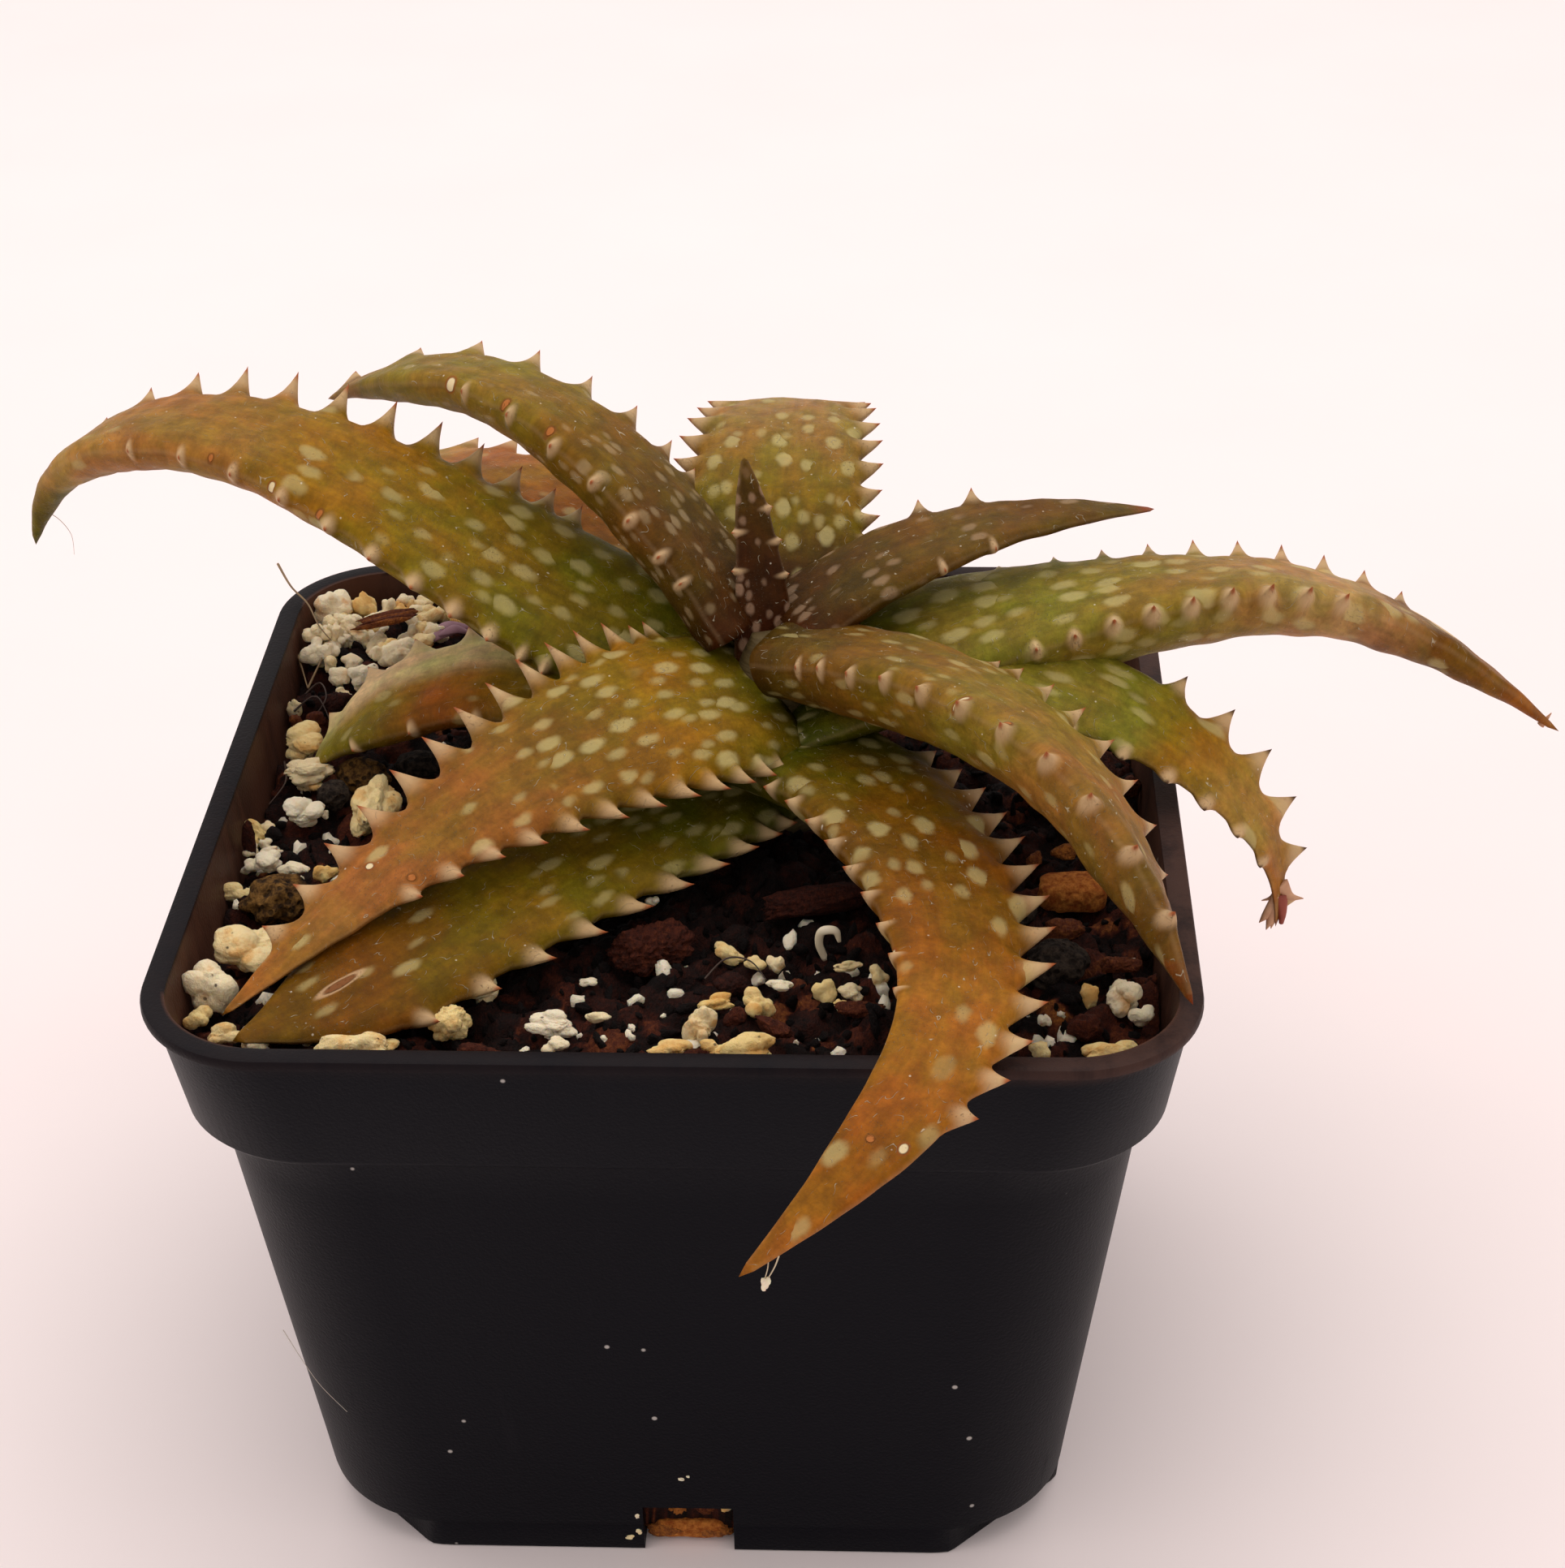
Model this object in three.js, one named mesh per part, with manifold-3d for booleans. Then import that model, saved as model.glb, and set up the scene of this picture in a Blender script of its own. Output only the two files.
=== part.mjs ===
// A young spotted aloe hybrid in a square plastic nursery pot.
// Millimetres, +Z up. The origin is the middle of the pot's underside, and -Y is the front of the pot.
import * as THREE from 'three';
import Module from 'manifold-3d';
import { mergeVertices } from 'three/addons/utils/BufferGeometryUtils.js';

const wasm = await Module();
wasm.setup();

// The gap between two pieces that touch
const CLEARANCE = 0.3;

// The pot: half widths of its square outlines, their corner radii and their heights
const POT_HEIGHT = 70.5;
const RIM_HALF = 50;
const RIM_CORNER = 12.8;
const LIP_WIDTH = 2.4;
const LIP_HEIGHT = 1.2;
const LIP_OVERHANG = 0.9;
const WALL = 1.2;
const COLLAR_HEIGHT = 13.9;
const COLLAR_FOOT_HALF = 47.5;
const BODY_TOP_HALF = 45.7;
const BODY_FOOT_HALF = 39.2;
const FOOT_HALF = 38.9;
const FOOT_HEIGHT = 3.7;
const FOOT_DIAGONAL = 66;
const FLOOR = 1.5;
const SLOT_WIDTH = 9.4;
const SLOT_HEIGHT = 6.6;
const SLOT_DEPTH = 5.5;
const FOOT_CORNER = 14;
const BODY_TOP_CORNER = 15.6;
const COLLAR_CORNER = 13.4;
const CORNER_STEPS = 4;

// The potting mix: its level, how rough it is, and the heap in the back left corner
const MIX_LEVEL = 63.4;
const MIX_ROUGHNESS = 0.7;
const HEAP_HEIGHT = 3.2;
const HEAP_CENTRE = [-45, 44];
const HEAP_RADIUS = 24;
const MIX_GRID = 20;
const LUMP_COUNT = 44;
const LUMP_SEED = 11;

// The stem: it stands in a plain hole in the mix and carries every leaf
const STEM_AXIS = [7.5, 7];
const STEM_PROFILE = [[6.2, 55], [6.0, 62], [5.2, 70], [4.4, 77], [3.0, 82], [1.6, 84.5]];

// How a leaf is drawn. The margin teeth have hollow flanks.
const CENTRELINE_STEPS = 48;
const BLADE_STATIONS = 16;
const LAST_STATION = 0.985;
const TIP_HALF = 0.3;
const FACE_LINES = [0.7, 0, -0.7];
const FACE_CROWN = 0.09;
const TOOTH_HALF_BASE = 1.9;
const TOOTH_SLIMMEST = 2.4;
const TOOTH_FLANK = 0.45;
const TOOTH_HOLLOW = 1.8;

// The leaves, youngest first. start is the middle of the base and length runs along the midline.
// climb and heading are degrees at even steps from base to tip, heading 0 along +X and 90 along +Y.
// roll lifts the left margin, in degrees at the base, the middle and the tip.
// half is the half width at each fifth of the length, thick is the belly's depth at its deepest.
// left and right describe the teeth of a margin in eight numbers: where the first and the last one
// stand, how many there are, the height of the tallest, their lean towards the tip, how much taller
// they get towards the tip, their lift from the face, and a spread that sets them wider towards the
// tip where it is above 1.
const LEAVES = [
  { name: 'leaf_centre_young', color: 0x4a3428, start: [7.4, 7, 80], length: 22.5,
    climb: [81, 76, 71, 67, 67], heading: [100, 104, 108, 112, 113],
    roll: [0, 0, 0], half: [3.4, 3.1, 2.7, 2.2, 1.6], thick: 2,
    left: [11, 15, 2, 0.6, 0.2, 0, 0.2, 1], right: [10, 17, 3, 0.6, 0.2, 0, 0.2, 1] },
  { name: 'leaf_left_high', color: 0x57502c, start: [5.8, 8.9, 84.5], length: 64.7,
    climb: [54.5, 37.5, 15.5, -13.5, -36.5], heading: [150, 148, 147.5, 149.5, 151],
    roll: [9, 9, -6], half: [5.7, 6, 5.8, 4.8, 3.6], thick: 5.9,
    left: [7.5, 39.5, 7, 1.3, 0.1, 0, 0.2, 1.25], right: [16.5, 61.5, 8, 3.6, 0.3, 0, 0.2, 1.25] },
  { name: 'leaf_right_young', color: 0x4c3d30, start: [9.6, 8.3, 84.7], length: 42.5,
    climb: [40.5, 21.5, 8.5, -2.5, -11], heading: [19.5, 18.5, 18.5, 18, 18],
    roll: [2, 7, -1], half: [6.4, 5.8, 4.9, 3.6, 2.3], thick: 3.7,
    left: [18, 23.5, 2, 1.8, 0.3, 0, 0.5, 1], right: [17, 23, 2, 0.8, 0.1, 0, 0.2, 1] },
  { name: 'leaf_front_right', color: 0x5f5438, start: [8.6, 5, 84.7], length: 67.6,
    climb: [11.5, 5, -8.5, -25, -41], heading: [-28.5, -39, -51, -63, -73],
    roll: [-2, -25.5, -81.5], half: [5.5, 6.5, 6.3, 5.2, 3.9], thick: 7,
    left: [21.6, 52.6, 8, 3.8, -0.15, 0.18, 0.3, 1.29], right: [7, 60, 11, 2.2, 0, 0.1, 0.5, 1.21] },
  { name: 'leaf_left_long', color: 0x7a6a2a, start: [4, 7.5, 78.8], length: 96,
    climb: [21, 26, 17.5, -18, -80.5], heading: [170.5, 164.5, 162, 160, 163.5],
    roll: [-27, -10, 8], half: [8.8, 8.8, 7.9, 6.5, 5.4], thick: 6.9,
    left: [17.5, 69, 11, 2, -0.1, -0.45, 0.2, 1.3], right: [23.5, 81, 12, 3.6, 0, 0.1, 0.5, 1.17] },
  { name: 'leaf_right_long', color: 0x6b6420, start: [10.8, 7.2, 78.7], length: 88.4,
    climb: [24.5, 12, 0, -29.5, -45], heading: [6, 7.5, 7.5, 2, -3],
    roll: [28, -9, -13], half: [7.9, 7.9, 7.2, 5.5, 3.4], thick: 8.1,
    left: [23.4, 66.9, 10, 2.6, 0.05, 0.6, 0.6, 0.91], right: [24.5, 57, 9, 2.4, 0, 0.2, 0.8, 1] },
  { name: 'leaf_front_left_upper', color: 0x96623a, start: [7.4, 5, 77.8], length: 68.9,
    climb: [28, -1, -15.5, -22, -21], heading: [-134, -141, -144, -139.5, -132.5],
    roll: [-23.5, -15.5, 8], half: [9.2, 9.5, 7.6, 5, 3.1], thick: 4.5,
    left: [6, 48, 12, 3.2, -0.4, 0, 0.2, 1.15], right: [9, 59, 14, 4, 0.3, 0, 0.2, 1.33] },
  { name: 'leaf_back', color: 0x6b6420, start: [7.4, 9.8, 79.5], length: 65.5,
    climb: [52.5, 27, -2.5, -30.5, -53.5], heading: [88.5, 88.5, 88.5, 88.5, 88.5],
    roll: [1, 0, -2], half: [10, 9.5, 8.7, 7.2, 5.2], thick: 5,
    left: [14, 59, 11, 2.8, 0.1, 0, 0.2, 1.2], right: [14, 58, 11, 2.8, 0.1, 0, 0.2, 1.2] },
  { name: 'leaf_back_left_old', color: 0x96542a, start: [5.5, 9.2, 76.3], length: 66,
    climb: [32, 20.5, 6.5, -10.5, -25.5], heading: [133, 133.5, 134, 134.5, 135],
    roll: [0, 0, 0], half: [7.2, 6.6, 5.8, 4.7, 3.3], thick: 4,
    left: [16, 60, 9, 2.8, 0.2, 0, 0.2, 1.1], right: [16, 61, 9, 2.8, 0.2, 0, 0.2, 1.1] },
  { name: 'leaf_right_low', color: 0x8d8a2c, start: [10.6, 6.5, 75.3], length: 67.6,
    climb: [33.5, 11.5, -19.5, -47, -99], heading: [-6.5, -10, -15, -15.5, -17.5],
    roll: [-1, 15.5, 11.5], half: [8.5, 7.4, 6.3, 5, 3.1], thick: 3.9,
    left: [40, 64.8, 6, 2.8, 0.1, -0.1, 0.5, 0.94], right: [32, 58, 6, 1.8, 0.1, 0, 0.2, 0.9] },
  { name: 'leaf_front_sickle', color: 0x8a5f2a, start: [9.1, 4.4, 73], length: 90,
    climb: [15, 2, -4, -12, -34], heading: [-50.5, -66.5, -84, -119, -153],
    roll: [-4, -8.5, -15.5], half: [8.7, 8.1, 7.1, 5.3, 3.7], thick: 5.1,
    left: [13, 67, 13, 3.5, -0.2, 0, 0.2, 1], right: [12.5, 54.5, 9, 1.4, -0.3, -0.4, 0.2, 1] },
  { name: 'leaf_left_low', color: 0x8a7a2a, start: [4.5, 7.5, 71.6], length: 52,
    climb: [23.5, 13.5, -3, -27.5, -58.5], heading: [173.5, 172.5, 174, 178.5, 184.5],
    roll: [0, -13.5, -9.5], half: [6.7, 6.7, 6.5, 6, 5.2], thick: 4.5,
    left: [20, 44, 4, 1.2, 0.3, 0, 0.2, 1], right: [25, 47, 5, 2.2, 0.3, 0, 0.2, 1] },
  { name: 'leaf_front_left_lower', color: 0x6e7023, start: [5.7, 4.5, 69.1], length: 66,
    climb: [7.5, 3, -3, -9.5, -7], heading: [-129, -130.5, -134, -140, -151],
    roll: [-5, -12.5, -11], half: [8.2, 8.1, 7.7, 7.4, 6.9], thick: 4,
    left: [5, 50.5, 10, 3.2, -0.5, 0, 0.2, 1.25], right: [9, 40, 7, 3.4, 0.2, 0, 0.2, 1.25] },
];

// Loose pieces that lie on the mix. at is the middle, size the width, depth and height before the turn.
const PALE = 0xe6d3a0;
const PIECES = [
  { name: 'perlite_left_large', at: [-33.8, 1.6, 66.2], size: [5, 9, 4.6], turn: -6, seed: 3, color: PALE },
  { name: 'perlite_corner_left', at: [-41.6, -25.4, 66], size: [8.6, 6.4, 5], turn: -12, seed: 5,
    color: PALE },
  { name: 'perlite_front_left', at: [-29.8, -41, 65.9], size: [7.4, 4, 3.6], turn: 4, seed: 6, color: PALE },
  { name: 'perlite_front_pebble', at: [-21.2, -36.6, 65.6], size: [4.4, 3.8, 3.8], turn: 20, seed: 7,
    color: PALE },
  { name: 'perlite_front_white', at: [-11.4, -36, 65.2], size: [5.2, 2.8, 2.6], turn: -12, seed: 8,
    color: 0xf0e8dc },
  { name: 'perlite_front_middle', at: [7, -40.6, 65.6], size: [6.2, 4, 3.8], turn: 10, seed: 9,
    color: PALE },
  { name: 'perlite_front_block', at: [2.6, -36.4, 65.4], size: [3.4, 3, 4], turn: 0, seed: 10, color: PALE },
  { name: 'perlite_right_front', at: [41.4, -40.4, 65.6], size: [5.4, 3, 3], turn: 8, seed: 12,
    color: PALE },
  { name: 'perlite_right_corner', at: [43.2, -31.4, 66], size: [4.4, 3.6, 3.6], turn: 50, seed: 13,
    color: 0xe8dccb },
  { name: 'perlite_left_pebble', at: [-43.4, 14.6, 66.6], size: [4.4, 4.2, 3.8], turn: 0, seed: 14,
    color: PALE },
  { name: 'perlite_left_flat', at: [-42.2, 9.4, 66], size: [5.6, 3.4, 2.8], turn: 8, seed: 15, color: PALE },
  { name: 'perlite_left_white', at: [-41.4, 1.4, 65.6], size: [4.4, 3.6, 3.4], turn: 40, seed: 16,
    color: 0xf0e8dc },
  { name: 'pumice_left', at: [-41.4, -16.2, 66], size: [7.6, 7, 5.4], turn: 15, seed: 17, color: 0x7a5a3c },
  { name: 'pumice_middle_left', at: [-36.4, 9.8, 65.4], size: [6.6, 4.8, 4], turn: -10, seed: 18,
    color: 0x5c3d2a },
  { name: 'bark_front', at: [-3, -23, 65.2], size: [9, 6, 4.8], turn: 12, seed: 19, color: 0x4c2219 },
  { name: 'clay_chip_right', at: [39, -12.2, 65.3], size: [7.2, 4.2, 3.4], turn: 0, seed: 20,
    color: 0x9c5228 },
  { name: 'pumice_right', at: [37, -25, 65.2], size: [7, 6, 4.4], turn: 30, seed: 21, color: 0x5a3f2e },
];

// The heap of pale perlite in the back left corner: middles of the lumps, which lie against each other
const HEAP_LUMP = 5.4;
const HEAP_LUMPS = [
  [-43.6, 38.4, 68.2], [-40.2, 41.8, 68.4], [-35.8, 43.2, 68.0], [-31.4, 43.0, 67.2], [-43.6, 34.2, 67.0],
  [-39.6, 37.6, 67.2], [-35.6, 39.2, 66.8], [-39.4, 33.4, 66.6], [-36.2, 31.6, 66.2],
];

// A strip of bark across the heap and the bark chip that shows in the front drain slot
const SLIVER_ENDS = [[-42.4, 36.4, 69.2], [-33.6, 39.2, 69.8]];
const SLIVER_WIDTH = 2.2;
const SLIVER_THICKNESS = 1.2;
const DRAIN_CHIP = { at: [0, -36.6, 1.75], size: [7.8, 2.6, 2.6], turn: 0, seed: 23 };

// Seeded random numbers from 0 to 1
function seededRandom(seed) {
  let state = seed >>> 0;
  return () => {
    state = (state + 0x6d2b79f5) >>> 0;
    let mixed = Math.imul(state ^ (state >>> 15), 1 | state);
    mixed = (mixed + Math.imul(mixed ^ (mixed >>> 7), 61 | mixed)) ^ mixed;
    return ((mixed ^ (mixed >>> 14)) >>> 0) / 4294967296;
  };
}

// Six times the signed volume of a triangle mesh, positive when its faces point out
function signedVolume(points, triangles) {
  let sum = 0;
  for (const [a, b, c] of triangles) {
    sum += new THREE.Vector3(...points[a]).dot(
      new THREE.Vector3(...points[b]).cross(new THREE.Vector3(...points[c])));
  }
  return sum;
}

function solidFrom(points, triangles) {
  const outward = signedVolume(points, triangles) > 0;
  const order = outward ? triangles : triangles.map(([a, b, c]) => [a, c, b]);
  return new wasm.Manifold(new wasm.Mesh({
    numProp: 3,
    vertProperties: Float32Array.from(points.flat()),
    triVerts: Uint32Array.from(order.flat()),
  }));
}

function solidFromGeometry(geometry) {
  geometry.deleteAttribute('normal');
  geometry.deleteAttribute('uv');
  const merged = mergeVertices(geometry, 1e-4);
  return new wasm.Manifold(new wasm.Mesh({
    numProp: 3,
    vertProperties: Float32Array.from(merged.attributes.position.array),
    triVerts: Uint32Array.from(merged.index.array),
  }));
}

// Cutting can leave crumbs, so only the largest piece of a cut solid is kept
function largestPiece(solid) {
  const parts = solid.decompose();
  return parts.reduce((best, part) => (part.volume() > best.volume() ? part : best));
}

function meshFrom(name, solid, color, roughness) {
  const data = solid.getMesh();
  const geometry = new THREE.BufferGeometry();
  geometry.setAttribute('position', new THREE.BufferAttribute(data.vertProperties, 3));
  geometry.setIndex(new THREE.BufferAttribute(data.triVerts, 1));
  geometry.computeVertexNormals();
  const material = new THREE.MeshStandardMaterial({ color, roughness, metalness: 0 });
  const mesh = new THREE.Mesh(geometry, material);
  mesh.name = name;
  return mesh;
}

// A closed solid through rings of points that all have the same count
function loft(rings) {
  const count = rings[0].length;
  const points = rings.flat();
  const triangles = [];
  for (let ring = 0; ring + 1 < rings.length; ring += 1) {
    for (let k = 0; k < count; k += 1) {
      const next = (k + 1) % count;
      const [a, b] = [ring * count + k, ring * count + next];
      triangles.push([a, b, b + count], [a, b + count, a + count]);
    }
  }
  const middle = (ring) => [0, 1, 2].map((axis) => ring.reduce((sum, p) => sum + p[axis], 0) / count);
  const bottom = points.push(middle(rings[0])) - 1;
  const top = points.push(middle(rings[rings.length - 1])) - 1;
  const lastRing = (rings.length - 1) * count;
  for (let k = 0; k < count; k += 1) {
    const next = (k + 1) % count;
    triangles.push([bottom, next, k], [top, lastRing + k, lastRing + next]);
  }
  return solidFrom(points, triangles);
}

function roundedSquare(half, corner, z) {
  const ring = [];
  for (let quarter = 0; quarter < 4; quarter += 1) {
    const middle = (quarter + 0.5) * Math.PI / 2;
    const centre = (half - corner) * Math.SQRT2;
    for (let step = 0; step <= CORNER_STEPS; step += 1) {
      const angle = (quarter + step / CORNER_STEPS) * Math.PI / 2;
      ring.push([centre * Math.cos(middle) + corner * Math.cos(angle),
        centre * Math.sin(middle) + corner * Math.sin(angle), z]);
    }
  }
  return ring;
}

// A square with its corners cut off where |x| + |y| passes the diagonal
function cutSquare(half, diagonal, z) {
  const side = diagonal - half;
  return [[half, -side, z], [half, side, z], [side, half, z], [-side, half, z],
    [-half, side, z], [-half, -side, z], [-side, -half, z], [side, -half, z]];
}

function boxBetween(low, high) {
  const box = new THREE.BoxGeometry(high[0] - low[0], high[1] - low[1], high[2] - low[2]);
  box.translate((low[0] + high[0]) / 2, (low[1] + high[1]) / 2, (low[2] + high[2]) / 2);
  return solidFromGeometry(box);
}

// The room inside the pot, made smaller all round by the given inset
function potCavity(inset) {
  const collarFoot = POT_HEIGHT - COLLAR_HEIGHT;
  const deck = FOOT_HEIGHT + FLOOR + inset;
  const rings = [
    roundedSquare(BODY_FOOT_HALF - WALL - inset, FOOT_CORNER - WALL, deck),
    roundedSquare(BODY_TOP_HALF - WALL - inset, BODY_TOP_CORNER - WALL, collarFoot - WALL / 2),
    roundedSquare(COLLAR_FOOT_HALF - WALL - inset, COLLAR_CORNER - WALL, collarFoot + WALL),
    ...[POT_HEIGHT - LIP_HEIGHT, POT_HEIGHT + 1].map(
      (z) => roundedSquare(RIM_HALF - LIP_WIDTH - inset, RIM_CORNER - LIP_WIDTH, z)),
  ];
  const well = loft([FLOOR + inset, deck + 1].map(
    (z) => cutSquare(FOOT_HALF - WALL - inset, FOOT_DIAGONAL - 2 * (WALL + inset), z)));
  return loft(rings).add(well);
}

function makePot() {
  const collarFoot = POT_HEIGHT - COLLAR_HEIGHT;
  const outside = loft([
    roundedSquare(FOOT_HALF, FOOT_CORNER, 0),
    roundedSquare(BODY_FOOT_HALF, FOOT_CORNER, FOOT_HEIGHT),
    roundedSquare(BODY_TOP_HALF, BODY_TOP_CORNER, collarFoot - 0.4),
    roundedSquare(COLLAR_FOOT_HALF - 0.7, COLLAR_CORNER, collarFoot - 0.1),
    roundedSquare(COLLAR_FOOT_HALF, COLLAR_CORNER, collarFoot + 0.8),
    roundedSquare(RIM_HALF - LIP_OVERHANG, RIM_CORNER, POT_HEIGHT - LIP_HEIGHT - 0.3),
    roundedSquare(RIM_HALF, RIM_CORNER, POT_HEIGHT - LIP_HEIGHT),
    roundedSquare(RIM_HALF, RIM_CORNER, POT_HEIGHT - 0.3),
    roundedSquare(RIM_HALF - 0.4, RIM_CORNER - 0.4, POT_HEIGHT),
  ]);
  const slab = boxBetween([-RIM_HALF, -RIM_HALF, -1], [RIM_HALF, RIM_HALF, FOOT_HEIGHT]);
  const foot = loft([-2, FOOT_HEIGHT + 1].map((z) => cutSquare(RIM_HALF, FOOT_DIAGONAL, z)));
  const slot = boxBetween([FOOT_HALF - SLOT_DEPTH, -SLOT_WIDTH / 2, -1],
    [RIM_HALF, SLOT_WIDTH / 2, SLOT_HEIGHT]);
  let pot = outside.subtract(slab.subtract(foot)).subtract(potCavity(0));
  for (const turn of [0, 90, 180, 270]) {
    pot = pot.subtract(slot.rotate([0, 0, turn]));
  }
  return pot;
}

// A rough stone or bark lump: a faceted ball pushed in and out along its directions
function lump(at, size, turn, seed, detail, grow = 0) {
  const ball = new THREE.IcosahedronGeometry(1, detail);
  const position = ball.attributes.position;
  const place = new THREE.Vector3();
  const turned = new THREE.Quaternion().setFromAxisAngle(
    new THREE.Vector3(0, 0, 1), THREE.MathUtils.degToRad(turn));
  for (let k = 0; k < position.count; k += 1) {
    place.fromBufferAttribute(position, k);
    const wobble = 1 + 0.16 * Math.sin(2.7 * place.x + seed) * Math.cos(2.3 * place.y + 2 * seed)
      + 0.1 * Math.sin(4.1 * place.z + 3 * seed + 2 * place.x);
    place.multiplyScalar(wobble);
    place.multiply(new THREE.Vector3(size[0] / 2 + grow, size[1] / 2 + grow, size[2] / 2 + grow));
    place.applyQuaternion(turned).add(new THREE.Vector3(...at));
    position.setXYZ(k, place.x, place.y, place.z);
  }
  return solidFromGeometry(ball);
}

function mixHeight(x, y) {
  const distance = Math.hypot(x - HEAP_CENTRE[0], y - HEAP_CENTRE[1]) / HEAP_RADIUS;
  const heap = HEAP_HEIGHT * Math.max(0, 1 - distance * distance);
  const rough = Math.sin(0.55 * x + 1.3) * Math.cos(0.48 * y + 0.4) + 0.7 * Math.sin(0.93 * x - 0.81 * y);
  return MIX_LEVEL + heap + MIX_ROUGHNESS * rough;
}

// The mix fills the pot up to a rough surface, with small lumps sunk into it by a seeded rule
function makeMix() {
  const points = [];
  const triangles = [];
  const reach = RIM_HALF;
  const row = MIX_GRID + 1;
  const layer = row * row;
  for (const top of [false, true]) {
    for (let j = 0; j < row; j += 1) {
      for (let i = 0; i < row; i += 1) {
        const x = -reach + 2 * reach * i / MIX_GRID;
        const y = -reach + 2 * reach * j / MIX_GRID;
        points.push([x, y, top ? mixHeight(x, y) : 0]);
      }
    }
  }
  for (let j = 0; j < MIX_GRID; j += 1) {
    for (let i = 0; i < MIX_GRID; i += 1) {
      const a = j * row + i;
      triangles.push([a, a + row + 1, a + 1], [a, a + row, a + row + 1]);
      triangles.push([layer + a, layer + a + 1, layer + a + row + 1]);
      triangles.push([layer + a, layer + a + row + 1, layer + a + row]);
    }
  }
  for (let k = 0; k < MIX_GRID; k += 1) {
    const last = MIX_GRID * row;
    const sides = [[k, k + 1], [(k + 1) * row + MIX_GRID, k * row + MIX_GRID].reverse(),
      [last + k + 1, last + k], [(k + 1) * row, k * row]];
    for (const [a, b] of sides) {
      triangles.push([a, b, layer + b], [a, layer + b, layer + a]);
    }
  }
  let mix = solidFrom(points, triangles).intersect(potCavity(CLEARANCE));
  const random = seededRandom(LUMP_SEED);
  const reachOfLumps = RIM_HALF - LIP_WIDTH - 4;
  for (let k = 0; k < LUMP_COUNT; k += 1) {
    const x = (2 * random() - 1) * reachOfLumps;
    const y = (2 * random() - 1) * reachOfLumps;
    const width = 2.4 + 3 * random();
    const size = [width, width * (0.6 + 0.4 * random()), width * 0.7];
    const inCorner = Math.abs(x) + Math.abs(y) > 1.75 * reachOfLumps;
    if (!inCorner) {
      mix = mix.add(lump([x, y, mixHeight(x, y) + 0.15 * width], size, 360 * random(), k, 0));
    }
  }
  return mix;
}

function makeStem(grow) {
  const profile = STEM_PROFILE.map(([radius, z]) => new THREE.Vector2(radius + grow, z));
  profile.unshift(new THREE.Vector2(0, STEM_PROFILE[0][1] - grow));
  profile[1].y -= grow;
  profile.push(new THREE.Vector2(0, STEM_PROFILE[STEM_PROFILE.length - 1][1] + grow));
  profile[profile.length - 2].y += grow;
  const stem = new THREE.LatheGeometry(profile, 12);
  stem.rotateX(Math.PI / 2);
  stem.translate(STEM_AXIS[0], STEM_AXIS[1], 0);
  return solidFromGeometry(stem);
}

// The value at t between 0 and 1 of a smooth curve through evenly spaced values
function along(values, t) {
  const last = values.length - 1;
  const place = Math.min(Math.max(t, 0), 1) * last;
  const k = Math.min(Math.floor(place), last - 1);
  const f = place - k;
  const before = k > 0 ? values[k - 1] : 2 * values[0] - values[1];
  const after = k + 2 <= last ? values[k + 2] : 2 * values[last] - values[last - 1];
  const [b, c] = [values[k], values[k + 1]];
  return 0.5 * (2 * b + (c - before) * f + (2 * before - 5 * b + 4 * c - after) * f * f
    + (3 * b - before - 3 * c + after) * f ** 3);
}

function directionAt(leaf, t) {
  const climb = THREE.MathUtils.degToRad(along(leaf.climb, t));
  const heading = THREE.MathUtils.degToRad(along(leaf.heading, t));
  return new THREE.Vector3(Math.cos(climb) * Math.cos(heading), Math.cos(climb) * Math.sin(heading),
    Math.sin(climb));
}

// The midline of a leaf, walked in short steps from its base
function midline(leaf) {
  const step = leaf.length / CENTRELINE_STEPS;
  const places = [new THREE.Vector3(...leaf.start)];
  for (let k = 0; k < CENTRELINE_STEPS; k += 1) {
    const direction = directionAt(leaf, (k + 0.5) / CENTRELINE_STEPS);
    places.push(places[k].clone().addScaledVector(direction, step));
  }
  return (t) => {
    const place = t * CENTRELINE_STEPS;
    const k = Math.min(Math.floor(place), CENTRELINE_STEPS - 1);
    return places[k].clone().lerp(places[k + 1], place - k);
  };
}

// Where the teeth of one margin stand: place along the leaf, height and half width of the base
function teethOf([first, last, count, tallest, , slant, , spread]) {
  const teeth = [];
  for (let k = 0; k < count; k += 1) {
    const share = k / (count - 1);
    const place = first + (last - first) * share ** spread;
    const height = tallest * (0.5 + 0.5 * Math.sin(Math.PI * (k + 0.8) / (count + 0.6)));
    teeth.push({ place, height: height * (1 + slant * (2 * share - 1)) });
  }
  return teeth.map((tooth, k) => {
    const room = Math.min(k > 0 ? tooth.place - teeth[k - 1].place : Infinity,
      k + 1 < teeth.length ? teeth[k + 1].place - tooth.place : Infinity);
    const half = Math.min(TOOTH_HALF_BASE, room / 2);
    return { place: tooth.place, height: Math.min(tooth.height, TOOTH_SLIMMEST * half), half };
  });
}

function toothRise(tooth, place, hollow) {
  const share = Math.max(0, 1 - Math.abs(place - tooth.place) / tooth.half);
  return tooth.height * share ** hollow;
}

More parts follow.
